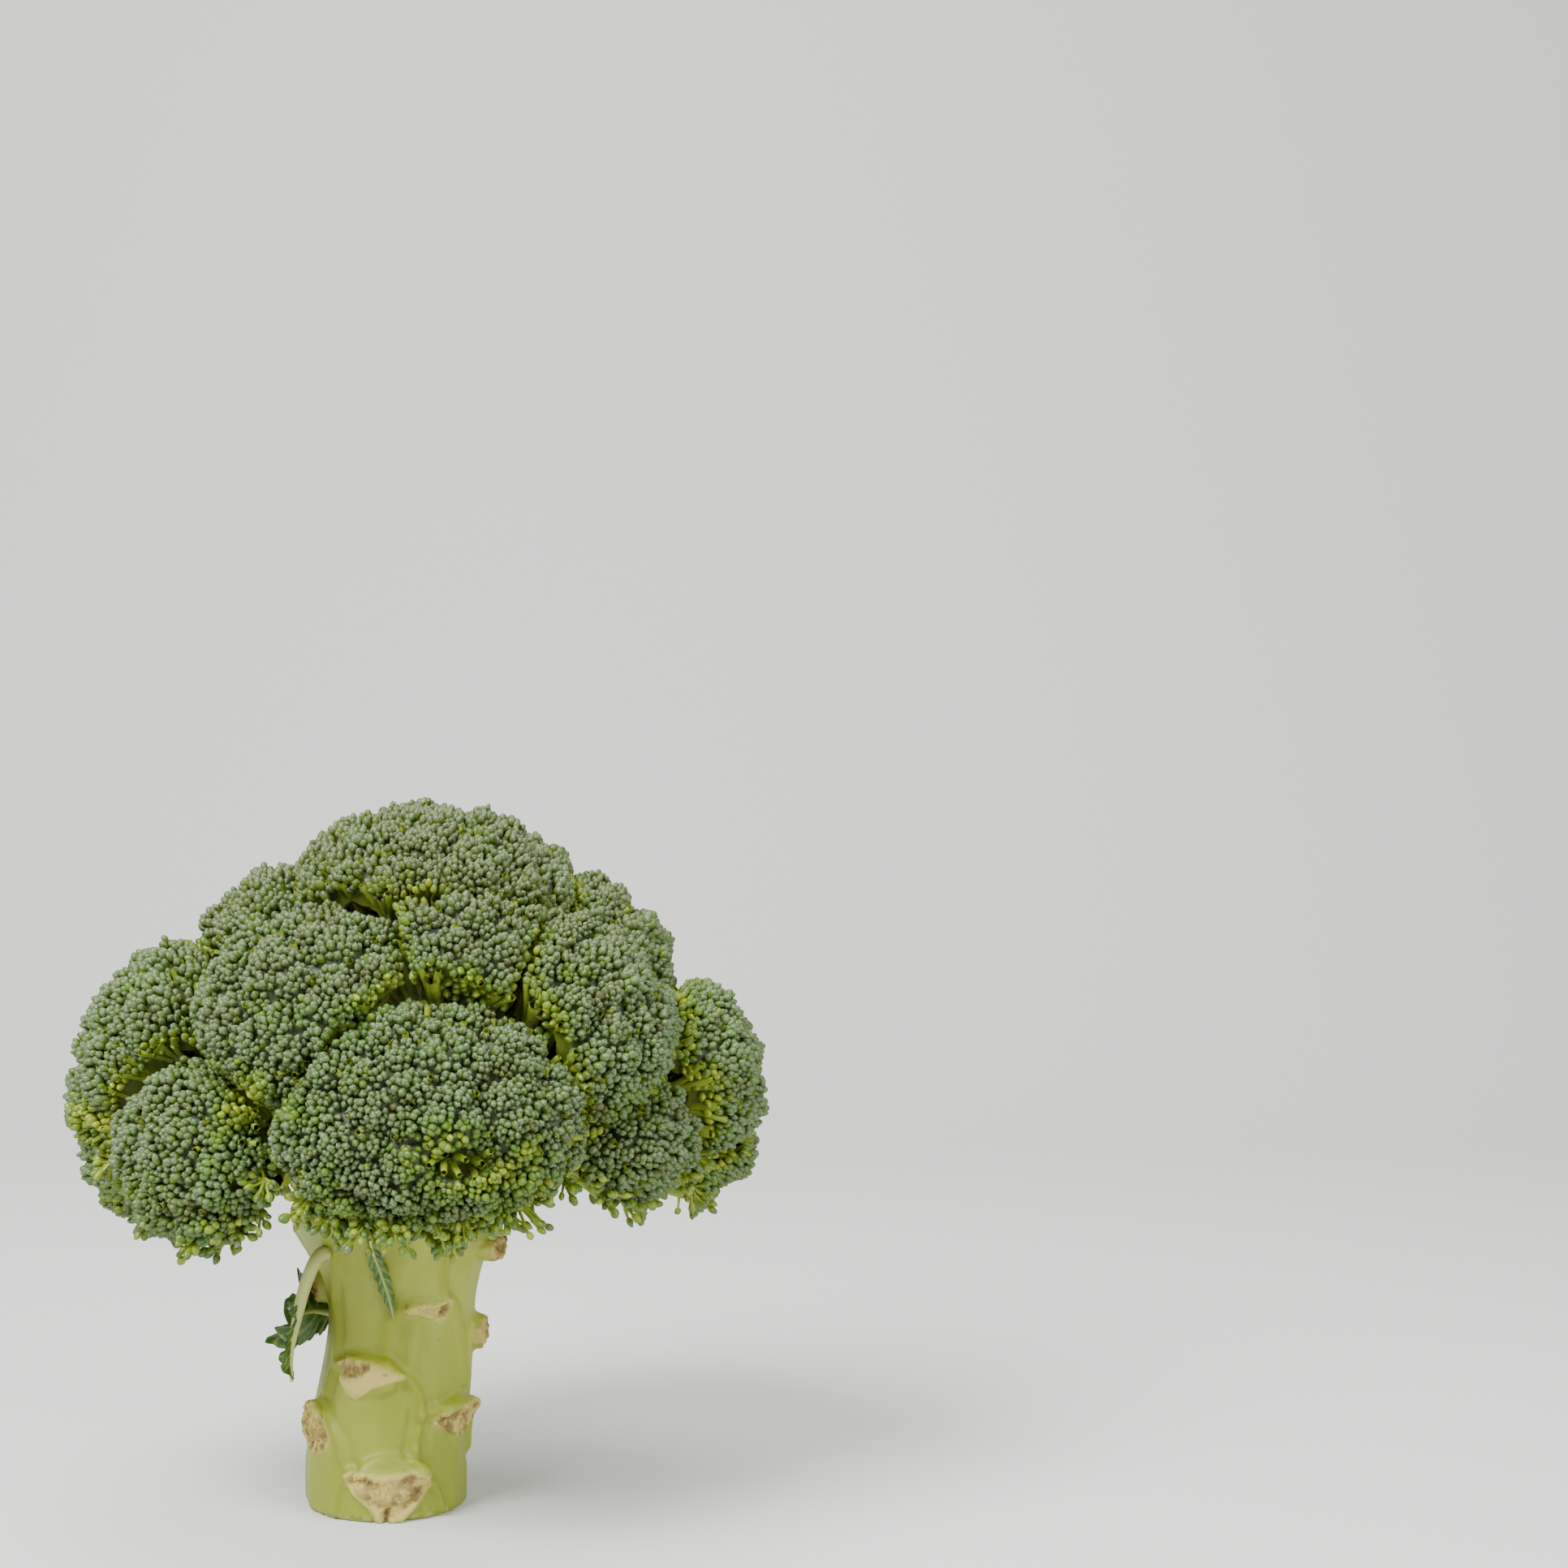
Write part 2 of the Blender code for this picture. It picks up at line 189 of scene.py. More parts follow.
def corner_normals(corners: np.ndarray, triangles: np.ndarray) -> np.ndarray:
    """Unit normals at the corners of a triangle mesh.

    Args:
        corners: corner positions.
        triangles: triangles of corner numbers.

    Returns:
        One unit vector for each corner.
    """
    a, b, c = (corners[triangles[:, side]] for side in range(3))
    faces = np.cross(b - a, c - a)
    sums = np.zeros_like(corners)
    for side in range(3):
        np.add.at(sums, triangles[:, side], faces)
    return unit(sums)


def spaced(points: np.ndarray, spacing: np.ndarray, order: np.ndarray) -> np.ndarray:
    """Pick points that keep their distance from each other, trying them in order.

    Args:
        points: candidate positions.
        spacing: how far each one stays from those already picked.
        order: candidate numbers, first choice first.

    Returns:
        The numbers of the picked candidates.
    """
    cell = float(spacing.max())
    cells = np.floor(points / cell).astype(int)
    grid: dict[tuple[int, int, int], list[int]] = defaultdict(list)
    reach = [(x, y, z) for x in (-1, 0, 1) for y in (-1, 0, 1) for z in (-1, 0, 1)]
    places, squares = points.tolist(), (spacing ** 2).tolist()
    picked = []
    for number in order.tolist():
        x, y, z = places[number]
        i, j, k = cells[number].tolist()
        limit = squares[number]
        close = False
        for di, dj, dk in reach:
            for other in grid.get((i + di, j + dj, k + dk), ()):
                ox, oy, oz = places[other]
                if (ox - x) ** 2 + (oy - y) ** 2 + (oz - z) ** 2 < limit:
                    close = True
                    break
            if close:
                break
        if not close:
            grid[(i, j, k)].append(number)
            picked.append(number)
    return np.array(picked, dtype=int)


class CellSheet:
    """A square sheet divided into equal cells, which gives each small shape a cell of its own."""

    def __init__(self, count: int, low: tuple[float, float], high: tuple[float, float]) -> None:
        """Divide the sheet between two corners so that it holds at least count cells.

        Args:
            count: how many cells are needed.
            low: the sheet's lower corner.
            high: its upper corner.
        """
        width, height = high[0] - low[0], high[1] - low[1]
        self.low = np.array(low)
        self.columns = max(1, math.ceil(math.sqrt(count * width / height)))
        self.rows = max(1, math.ceil(count / self.columns))
        self.cell = np.array((width / self.columns, height / self.rows))
        self.used = 0

    def take(self, count: int) -> np.ndarray:
        """Give out the lower corners of the next cells.

        Args:
            count: how many cells.

        Returns:
            One corner in each row.
        """
        numbers = np.arange(self.used, self.used + count)
        self.used += count
        places = np.stack((numbers % self.columns, numbers // self.columns), axis=1)
        return self.low + places * self.cell


class MeshPile:
    """Collects corners, faces, surface values and a map, and makes one mesh of them."""

    CELL_MARGIN = 0.06      # share of a cell kept clear on each side

    def __init__(self, value_names: tuple[str, ...]) -> None:
        """Start an empty pile.

        Args:
            value_names: the surface values that every corner carries.
        """
        self.value_names = value_names
        self.corners: list[np.ndarray] = []
        self.values: list[np.ndarray] = []
        self.loops: list[np.ndarray] = []
        self.sizes: list[np.ndarray] = []
        self.slots: list[np.ndarray] = []
        self.maps: list[np.ndarray] = []
        self.count = 0

    def add(self, corners: np.ndarray, faces: np.ndarray, values: np.ndarray, places: np.ndarray,
            slot: int = 0) -> None:
        """Add faces that all have the same number of sides.

        Args:
            corners: corner positions.
            faces: corner numbers, one face in each row.
            values: the surface values, one row for each corner.
            places: map positions, one row for each corner.
            slot: the material's number.
        """
        self.corners.append(corners)
        self.values.append(values)
        self.note_faces(faces + self.count, places[faces.ravel()], slot)
        self.count += len(corners)

    def note_faces(self, faces: np.ndarray, places: np.ndarray, slot: int) -> None:
        """Note faces whose corner numbers are final.

        Args:
            faces: corner numbers, one face in each row.
            places: map positions, one row for each corner of each face.
            slot: the material's number.
        """
        self.loops.append(faces.ravel())
        self.sizes.append(np.full(len(faces), faces.shape[1]))
        self.slots.append(np.full(len(faces), slot))
        self.maps.append(places)

    def add_copies(self, shape: "BudShape", frames: np.ndarray, origins: np.ndarray,
                   values: np.ndarray, cells: np.ndarray, cell_size: np.ndarray) -> None:
        """Add one copy of a shape for each frame.

        Args:
            shape: corners, faces and map of the shape.
            frames: for each copy, three rows that its x, y and z axes become.
            origins: where each copy starts.
            values: surface values of each copy's corners, copy by corner by value.
            cells: the lower corner of each copy's map cell.
            cell_size: the cells' width and height.
        """
        copies, size = len(origins), len(shape.corners)
        corners = np.einsum("ck,nkd->ncd", shape.corners, frames) + origins[:, None, :]
        inner = self.CELL_MARGIN + shape.places * (1.0 - 2.0 * self.CELL_MARGIN)
        places = cells[:, None, :] + inner[None, :, :] * cell_size
        starts = self.count + np.arange(copies) * size
        self.corners.append(corners.reshape(-1, 3))
        self.values.append(values.reshape(copies * size, -1))
        for faces in (shape.quads, shape.triangles):
            numbers = (faces[None, :, :] + starts[:, None, None]).reshape(-1, faces.shape[1])
            self.note_faces(numbers, places[:, faces.ravel(), :].reshape(-1, 2), 0)
        self.count += copies * size

    def build(self, name: str, materials: list[bpy.types.Material]) -> bpy.types.Object:
        """Make the object.

        Args:
            name: the piece's name.
            materials: its materials, in the order of the slots.

        Returns:
            A smooth-shaded mesh object.
        """
        corners = np.concatenate(self.corners) * MM
        loops = np.concatenate(self.loops)
        sizes = np.concatenate(self.sizes)
        mesh = bpy.data.meshes.new(name)
        mesh.vertices.add(len(corners))
        mesh.vertices.foreach_set("co", corners.ravel().astype(np.float32))
        mesh.loops.add(len(loops))
        mesh.loops.foreach_set("vertex_index", loops.astype(np.int32))
        mesh.polygons.add(len(sizes))
        mesh.polygons.foreach_set("loop_start", (np.cumsum(sizes) - sizes).astype(np.int32))
        mesh.polygons.foreach_set("material_index", np.concatenate(self.slots).astype(np.int32))
        mesh.update(calc_edges=True)
        bake_map = mesh.uv_layers.new(name="OFBake")
        bake_map.uv.foreach_set("vector", np.concatenate(self.maps).ravel().astype(np.float32))
        values = np.concatenate(self.values)
        for column, value_name in enumerate(self.value_names):
            layer = mesh.attributes.new(value_name, "FLOAT", "POINT")
            layer.data.foreach_set("value", values[:, column].astype(np.float32))
        mesh.shade_smooth()
        for material in materials:
            mesh.materials.append(material)
        obj = bpy.data.objects.new(name, mesh)
        bpy.context.scene.collection.objects.link(obj)
        return obj


def tube(path: np.ndarray, radii: np.ndarray, sides: int) -> tuple[np.ndarray, np.ndarray, np.ndarray]:
    """A round tube along a path, closed to a point at its far end.

    Args:
        path: points along the middle.
        radii: the radius at each point.
        sides: how many sides it has.

    Returns:
        Corners, four-sided faces and map positions from 0 to 1.
    """
    along = unit(np.gradient(path, axis=0))
    first = np.empty_like(along)
    first[0] = side_axes(along[:1])[0][0]
    for step in range(1, len(path)):
        first[step] = unit(first[step - 1] - along[step] * (first[step - 1] @ along[step]))
    second = np.cross(along, first)
    turns = np.linspace(0.0, 2.0 * math.pi, sides + 1)
    ring = (np.cos(turns)[None, :, None] * first[:, None, :]
            + np.sin(turns)[None, :, None] * second[:, None, :])
    corners = path[:, None, :] + ring * radii[:, None, None]
    steps, width = len(path), sides + 1
    index = np.arange(steps * width).reshape(steps, width)
    faces = np.stack((index[:-1, :-1], index[:-1, 1:], index[1:, 1:], index[1:, :-1]), axis=-1)
    shares = np.stack(np.meshgrid(np.linspace(0, 1, steps), np.linspace(0, 1, width), indexing="ij"), -1)
    return corners.reshape(-1, 3), faces.reshape(-1, 4), shares.reshape(-1, 2)


def bend(start: np.ndarray, lead: np.ndarray, end: np.ndarray, steps: int) -> np.ndarray:
    """Points on a curve from start towards lead and round to end.

    Args:
        start: first point.
        lead: the point that pulls the curve.
        end: last point.
        steps: how many points.

    Returns:
        One point in each row.
    """
    share = np.linspace(0.0, 1.0, steps)[:, None]
    return start * (1 - share) ** 2 + lead * 2 * share * (1 - share) + end * share ** 2


# ---------------------------------------------------------------------------------------------
# Finishes
# ---------------------------------------------------------------------------------------------

def add_node(tree: bpy.types.NodeTree, kind: str, settings: dict | None = None,
             links: dict | None = None) -> bpy.types.Node:
    """Add a shader node with its settings and links.

    Args:
        tree: the material's nodes.
        kind: Blender's name of the node type.
        settings: properties by name, and socket values by ("in", socket).
        links: an output socket for each input socket's name or number.

    Returns:
        The new node.
    """
    node = tree.nodes.new(kind)
    for key, value in (settings or {}).items():
        if isinstance(key, tuple):
            node.inputs[key[1]].default_value = value
        else:
            setattr(node, key, value)
    for key, output in (links or {}).items():
        tree.links.new(output, node.inputs[key])
    return node


def surface_value(tree: bpy.types.NodeTree, name: str) -> bpy.types.NodeSocket:
    """The output that reads a surface value by its name."""
    return add_node(tree, "ShaderNodeAttribute", {"attribute_name": name}).outputs["Fac"]


def blended(tree: bpy.types.NodeTree, share: bpy.types.NodeSocket, below: object,
            above: object) -> bpy.types.NodeSocket:
    """Mix two colours by a share.

    Args:
        tree: the material's nodes.
        share: 0 gives the first colour and 1 the second.
        below: a hex colour or an output.
        above: a hex colour or an output.

    Returns:
        The mixed colour.
    """
    mix = add_node(tree, "ShaderNodeMix", {"data_type": "RGBA"}, {0: share})
    for socket, colour in ((mix.inputs[6], below), (mix.inputs[7], above)):
        if isinstance(colour, str):
            socket.default_value = srgb(colour)
        else:
            tree.links.new(colour, socket)
    return mix.outputs[2]


def eased_range(tree: bpy.types.NodeTree, value: bpy.types.NodeSocket, low: float, high: float,
                to_low: float = 0.0, to_high: float = 1.0) -> bpy.types.NodeSocket:
    """Map a range of values onto another, held at its ends.

    Args:
        tree: the material's nodes.
        value: what is mapped.
        low: value that gives to_low.
        high: value that gives to_high.
        to_low: result at the low end.
        to_high: result at the high end.

    Returns:
        The mapped value.
    """
    settings = {("in", 1): low, ("in", 2): high, ("in", 3): to_low, ("in", 4): to_high}
    return add_node(tree, "ShaderNodeMapRange", settings, {0: value}).outputs[0]


def speckle(tree: bpy.types.NodeTree, size: float, detail: float = 2.0,
            stretch: tuple[float, float, float] = (1.0, 1.0, 1.0)) -> bpy.types.NodeSocket:
    """A noise whose patches have a real size.

    Args:
        tree: the material's nodes.
        size: patch size in millimetres.
        detail: how many finer layers it has.
        stretch: how many times longer a patch is along x, y and z.

    Returns:
        Values from 0 to 1.
    """
    place = add_node(tree, "ShaderNodeTexCoord").outputs["Object"]
    scale = tuple(1.0 / part for part in stretch)
    mapped = add_node(tree, "ShaderNodeMapping", {("in", "Scale"): scale}, {"Vector": place})
    settings = {("in", "Scale"): 1.0 / (size * MM), ("in", "Detail"): detail}
    return add_node(tree, "ShaderNodeTexNoise", settings, {"Vector": mapped.outputs[0]}).outputs["Fac"]


def new_skin(name: str, roughness: float, ior: float) -> tuple[bpy.types.Material, bpy.types.Node]:
    """A material with an empty Principled shader.

    Args:
        name: the material's name.
        roughness: its roughness where nothing varies it.
        ior: its index of refraction.

    Returns:
        The material and its shader.
    """
    material = bpy.data.materials.new(name)
    material.use_nodes = True
    shader = material.node_tree.nodes["Principled BSDF"]
    shader.inputs["Roughness"].default_value = roughness
    shader.inputs["IOR"].default_value = ior
    shader.inputs["Metallic"].default_value = 0.0
    return material, shader


@dataclass(frozen=True)
class BudSkin:
    """Sepals of a closed flower bud, grown, with a bloom of wax.

    The wax turns the green blue-grey at the tips and scatters a soft highlight, and the sides and
    foot, which it barely covers, stay yellow-green. The wax's pale colour on the tips is partly a
    painted highlight.
    """

    foot: str = "8b9a2c"
    side: str = "4f6b1f"
    tip: str = "46592f"
    # pale waxy grey-green: the real bloom, and partly a painted highlight
    wax_and_highlight: str = "7d8c6c"
    aged: str = "4a3e1c"
    wax_patch: float = 0.35     # mm, where the wax is thicker or rubbed off
    pore: float = 0.18          # mm, fine unevenness of a sepal
    roughness: float = 0.4

    def material(self) -> bpy.types.Material:
        """Make the material.

        Returns:
            The material.
        """
        # Waxed sepal: the wax dulls and spreads the highlight, so each bud shows one soft spot, and its
        # pale colour on the tips is partly a painted highlight.
        material, shader = new_skin("bud_sepal_waxed", self.roughness, 1.42)
        tree = material.node_tree
        bloom_and_painted_light, tint = surface_value(tree, "bloom_and_painted_light"), surface_value(tree, "tint")
        low = blended(tree, eased_range(tree, bloom_and_painted_light, 0.05, 0.4), self.foot, self.side)
        green = blended(tree, eased_range(tree, bloom_and_painted_light, 0.35, 0.75), low, self.tip)
        patches = eased_range(tree, speckle(tree, self.wax_patch), 0.35, 0.7)
        # Where the wax colour goes: the real bloom, and partly a painted highlight on the tips.
        wax_and_highlight_share = add_node(tree, "ShaderNodeMath", {"operation": "MULTIPLY"},
                         {0: eased_range(tree, bloom_and_painted_light, 0.55, 1.05), 1: patches}).outputs[0]
        dusted = blended(tree, wax_and_highlight_share, green, self.wax_and_highlight)
        varied = add_node(tree, "ShaderNodeHueSaturation", {("in", "Fac"): 1.0}, {
            "Color": dusted,
            "Hue": eased_range(tree, tint, 0.0, 1.0, 0.48, 0.515),
            "Value": eased_range(tree, tint, 0.0, 1.0, 0.82, 1.18)}).outputs[0]
        old = blended(tree, surface_value(tree, "age"), varied, self.aged)
        tree.links.new(old, shader.inputs["Base Color"])
        tree.links.new(eased_range(tree, wax_and_highlight_share, 0.0, 1.0, self.roughness - 0.08, self.roughness + 0.12),
                       shader.inputs["Roughness"])
        bump = add_node(tree, "ShaderNodeBump", {("in", "Strength"): 0.25, ("in", "Distance"): 0.05 * MM},
                        {"Height": speckle(tree, self.pore)})
        tree.links.new(bump.outputs[0], shader.inputs["Normal"])
        return material


@dataclass(frozen=True)
class BranchSkin:
    """Skin of the branchlets under the buds, grown and smooth.

    It is pale yellow-green with a soft gloss where light reaches it, and painted dark green as shade
    between the buds.
    """

    pale: str = "8f9c34"
    fresh: str = "6f8420"
    # painted shade between the buds
    painted_shade_green: str = "27360f"
    patch: float = 2.5          # mm, paler and fresher green
    pore: float = 0.5           # mm
    roughness: float = 0.48

    def material(self) -> bpy.types.Material:
        """Make the material.

        Returns:
            The material.
        """
        # Smooth living skin: a low gloss, which only shows where light gets in between the buds.
        material, shader = new_skin("branchlet_skin", self.roughness, 1.42)
        tree = material.node_tree
        patches = eased_range(tree, speckle(tree, self.patch), 0.35, 0.65)
        light = blended(tree, patches, self.pale, self.fresh)
        # Painted shade: the skin turns dark green where it lies low under the buds.
        colour = blended(tree, surface_value(tree, "bloom_and_painted_light"), light, self.painted_shade_green)
        tree.links.new(colour, shader.inputs["Base Color"])
        bump = add_node(tree, "ShaderNodeBump", {("in", "Strength"): 0.3, ("in", "Distance"): 0.1 * MM},
                        {"Height": speckle(tree, self.pore)})
        tree.links.new(bump.outputs[0], shader.inputs["Normal"])
        return material


@dataclass(frozen=True)
class StalkSkin:
    """Epidermis of a thick green stalk, grown smooth, with healed and torn leaf bases.

    It is pale yellow-green with a low waxy gloss. Ridges are yellower, healed bases are cream, and
    torn tissue is tan and brown, dry and rough. Towards its foot it is painted darker, as shade.
    """

    skin: str = "919931"
    # darker green, for broad uneven patches and for the painted shade at the foot
    shade: str = "7a8420"
    pale: str = "a2a64c"
    ridge: str = "7f8412"
    cream: str = "b4a45a"
    tan: str = "947a3a"
    brown: str = "4a3317"
    cut: str = "a9ae68"
    cloud: float = 14.0         # mm, broad uneven green
    streak: float = 2.6         # mm, pale streaks that run up the stalk
    speck: float = 0.9          # mm, small brown pores
    fibre: float = 0.55         # mm, drawn coarser than real fibres of 0.1 mm, so that they show
    blotch: float = 2.2         # mm, browned patches of torn tissue
    skin_grain: float = 0.6     # mm, fine unevenness, also drawn coarser than it is
    torn_grain: float = 0.5     # mm
    roughness: float = 0.5
    torn_roughness: float = 0.85
    painted_foot_shade: tuple[float, float] = (6.0, 44.0)   # heights between which the painted shade at the foot fades out

    def material(self) -> bpy.types.Material:
        """Make the material.

        Returns:
            The material.
        """
        # Waxy epidermis over moist flesh: light sinks in a little, so the stalk glows softly, and
        # torn places have lost the wax and are dull.
        material, shader = new_skin("stalk_epidermis", self.roughness, 1.42)
        tree = material.node_tree
        place = add_node(tree, "ShaderNodeTexCoord").outputs["Object"]
        height = add_node(tree, "ShaderNodeSeparateXYZ", {}, {0: place}).outputs["Z"]
        broad = eased_range(tree, speckle(tree, self.cloud, 1.0, (1.0, 1.0, 2.5)), 0.35, 0.65)
        base = blended(tree, broad, self.skin, self.shade)
        upward = (1.0, 1.0, 4.0)
        streaks = eased_range(tree, speckle(tree, self.streak, 3.0, upward), 0.48, 0.75, 0.0, 0.28)
        base = blended(tree, streaks, base, self.pale)
        base = blended(tree, surface_value(tree, "pad"), base, self.pale)
        base = blended(tree, surface_value(tree, "ridge"), base, self.ridge)
        # Painted shade: the stalk darkens towards its foot.
        foot, top = self.painted_foot_shade
        low = eased_range(tree, height, foot * MM, top * MM, 0.85, 0.0)
        base = blended(tree, low, base, self.shade)
        specks = eased_range(tree, speckle(tree, self.speck, 1.0), 0.755, 0.79, 0.0, 0.5)
        base = blended(tree, specks, base, self.brown)
        fibres = eased_range(tree, speckle(tree, self.fibre, 4.0, (1.0, 1.0, 3.0)), 0.42, 0.6)
        blotches = eased_range(tree, speckle(tree, self.blotch, 3.0), 0.47, 0.62)
        torn = blended(tree, blotches, blended(tree, fibres, self.cream, self.tan), self.brown)
        base = blended(tree, surface_value(tree, "cream"), base, self.cream)
        base = blended(tree, surface_value(tree, "torn"), base, torn)
        base = blended(tree, surface_value(tree, "dark"), base, self.brown)
        pith = blended(tree, fibres, self.cut, self.pale)
        base = blended(tree, surface_value(tree, "cut"), base, pith)
        tree.links.new(base, shader.inputs["Base Color"])
        rough = add_node(tree, "ShaderNodeMath", {"operation": "MAXIMUM"},
                         {0: surface_value(tree, "torn"), 1: surface_value(tree, "cut")}).outputs[0]
        dull = eased_range(tree, rough, 0.0, 1.0, self.roughness, self.torn_roughness)
        tree.links.new(dull, shader.inputs["Roughness"])
        fine = add_node(tree, "ShaderNodeBump", {("in", "Strength"): 0.18, ("in", "Distance"): 0.15 * MM},
                        {"Height": speckle(tree, self.skin_grain, 3.0, upward)})
        coarse = add_node(tree, "ShaderNodeBump", {("in", "Distance"): 0.35 * MM},
                          {"Height": speckle(tree, self.torn_grain, 5.0), "Strength": rough,
                           "Normal": fine.outputs[0]})
        tree.links.new(coarse.outputs[0], shader.inputs["Normal"])
        shader.inputs["Subsurface Weight"].default_value = 0.12
        shader.inputs["Subsurface Radius"].default_value = (1.0, 0.9, 0.3)
        shader.inputs["Subsurface Scale"].default_value = 2.5 * MM
        return material


@dataclass(frozen=True)
class LeafSkin:
    """Blade of a young leaf, grown, thin and slightly waxed.

    It is a deep green with paler veins that stand proud, and a low uneven gloss.
    """

    blade: str = "27460f"
    light: str = "466524"
    vein: str = "8d9c4e"
    petiole: str = "adb26c"
    patch: float = 1.8          # mm, lighter and darker green
    grain: float = 0.5          # mm, the small swellings between the finest veins
    roughness: float = 0.45

    def material(self) -> bpy.types.Material:
        """Make the material.

        Returns:
            The material.
        """
        # Leaf cuticle: a thin wax, so the gloss is low and broken up by the veins.
        material, shader = new_skin("leaf_blade_skin", self.roughness, 1.42)
        tree = material.node_tree
        patches = eased_range(tree, speckle(tree, self.patch, 3.0), 0.38, 0.66)
        blade = blended(tree, patches, self.blade, self.light)
        veined = blended(tree, surface_value(tree, "vein"), blade, self.vein)
        colour = blended(tree, surface_value(tree, "stem"), veined, self.petiole)
        tree.links.new(colour, shader.inputs["Base Color"])
        bump = add_node(tree, "ShaderNodeBump", {("in", "Strength"): 0.4, ("in", "Distance"): 0.12 * MM},
                        {"Height": speckle(tree, self.grain, 3.0)})
        tree.links.new(bump.outputs[0], shader.inputs["Normal"])
        return material


@dataclass(frozen=True)
class StudioPaper:
    """Wide paper sweep, matt and plain, which only carries soft shadows."""

    colour: str = "d0d1ce"

    def material(self) -> bpy.types.Material:
        """Make the material.

        Returns:
            The material.
        """
        # Uncoated paper: matt all over, so that it shows the shadow and no reflection.
        material, shader = new_skin("studio_paper", 0.9, 1.4)
        shader.inputs["Base Color"].default_value = srgb(self.colour)
        return material


# ---------------------------------------------------------------------------------------------
# Buds
# ---------------------------------------------------------------------------------------------

@dataclass
class BudShape:
    """A closed bud: four sepals that meet in a cross at the tip.

    The shape is 1 wide and 1 long, with its foot at 0. Each ring is a height, a radius and how deep
    the seams between the sepals cut into it.
    """

    rings: tuple[tuple[float, float, float], ...]
    sepals: int = 4
    tip_height: float = 0.96
    corners: np.ndarray = field(init=False)
    quads: np.ndarray = field(init=False)
    triangles: np.ndarray = field(init=False)
    places: np.ndarray = field(init=False)
    rise: np.ndarray = field(init=False)
    seam: np.ndarray = field(init=False)

    def __post_init__(self) -> None:
        """Work out the corners, faces and map."""
        around, count = self.sepals * 2, len(self.rings)
        turns = np.arange(around) * 2 * math.pi / around
        in_seam = (np.arange(around) % 2).astype(float)
        corners, places, seam = [], [], []
        for number, (height, radius, depth) in enumerate(self.rings):
            reach = radius * (1.0 - depth * in_seam)
            lift = height - 0.25 * depth * in_seam
            corners.append(np.stack((reach * np.cos(turns), reach * np.sin(turns), lift), axis=1))
            out = 0.5 * (count - number) / count
            places.append(0.5 + out * np.stack((np.cos(turns), np.sin(turns)), axis=1))
            seam.append(in_seam * min(1.0, depth * 4.0))
        corners.append(np.array(((0.0, 0.0, self.tip_height),)))
        places.append(np.array(((0.5, 0.5),)))
        seam.append(np.array((0.7,)))
        self.corners = np.concatenate(corners)
        self.places = np.concatenate(places)
        self.seam = np.concatenate(seam)
        self.rise = np.clip(self.corners[:, 2], 0.0, 1.0)
        ring, step = np.meshgrid(np.arange(count - 1), np.arange(around), indexing="ij")
        onward = (step + 1) % around
        self.quads = np.stack((ring * around + step, ring * around + onward,
                               (ring + 1) * around + onward, (ring + 1) * around + step), -1).reshape(-1, 4)
        last, here = (count - 1) * around, np.arange(around)
        self.triangles = np.stack((last + here, last + (here + 1) % around,
                                   np.full(around, count * around)), axis=-1)


TIGHT_BUD = BudShape(((0.0, 0.22, 0.0), (0.20, 0.42, 0.03), (0.45, 0.50, 0.07), (0.70, 0.43, 0.16),
                      (0.88, 0.25, 0.30)))
STALKED_BUD = BudShape(((-0.8, 0.12, 0.0), (0.0, 0.17, 0.0), (0.16, 0.38, 0.03), (0.42, 0.50, 0.07),
                        (0.68, 0.44, 0.14), (0.87, 0.26, 0.28)))


@dataclass
class Buds:
    """Buds of one floret, one row each: where they sit and how they have grown."""

    tips: np.ndarray        # where each bud ends
    axes: np.ndarray        # which way it points
    widths: np.ndarray
    lengths: np.ndarray
    wax_and_highlight: np.ndarray         # 0 is yellow-green all over, 1 has a fully waxed tip, whose pale colour is partly painted highlight
    age: np.ndarray         # share of brown
    tint: np.ndarray        # 0 to 1, lighter or darker, warmer or cooler

    def chosen(self, which: np.ndarray) -> "Buds":
        """Some of the buds.

        Args:
            which: true for each bud that is wanted.

        Returns:
            Those buds.
        """
        return Buds(*(getattr(self, name)[which] for name in self.__dataclass_fields__))

    def feet(self) -> np.ndarray:
        """Where each bud starts."""
        return self.tips - self.axes * (self.lengths * 0.96)[:, None]

    def add_to(self, pile: MeshPile, shape: BudShape, sheet: CellSheet, rng: np.random.Generator) -> None:
        """Add all the buds to a pile, each with its own size, turn and lean.

        Args:
            pile: the mesh in the making.
            shape: the bud that is copied.
            sheet: the part of the map that the buds take.
            rng: the source of the variation.
        """
        count = len(self.tips)
        first, second = side_axes(self.axes)
        turn = rng.uniform(0.0, 2 * math.pi, count)[:, None]
        across = first * np.cos(turn) + second * np.sin(turn)
        other = np.cross(self.axes, across)
        squash = rng.uniform(0.88, 1.12, (count, 1))
        frames = np.stack((across * self.widths[:, None] * squash,
                           other * self.widths[:, None] / squash,
                           self.axes * self.lengths[:, None]), axis=1)
        rise, seam = shape.rise[None, :], shape.seam[None, :]
        bloom_and_painted_light = rise ** 0.9 * (0.30 + 0.80 * self.wax_and_highlight[:, None]) - 0.25 * seam
        bloom_and_painted_light += 0.12 * (self.wax_and_highlight[:, None] - 0.5)
        tint = np.broadcast_to(self.tint[:, None], bloom_and_painted_light.shape)
        age = self.age[:, None] * smooth(rise, 0.25, 0.9)
        values = np.stack((np.clip(bloom_and_painted_light, 0.0, 1.1), tint, age), axis=-1)
        pile.add_copies(shape, frames, self.feet(), values, sheet.take(count), sheet.cell)


# ---------------------------------------------------------------------------------------------
# Florets
# ---------------------------------------------------------------------------------------------

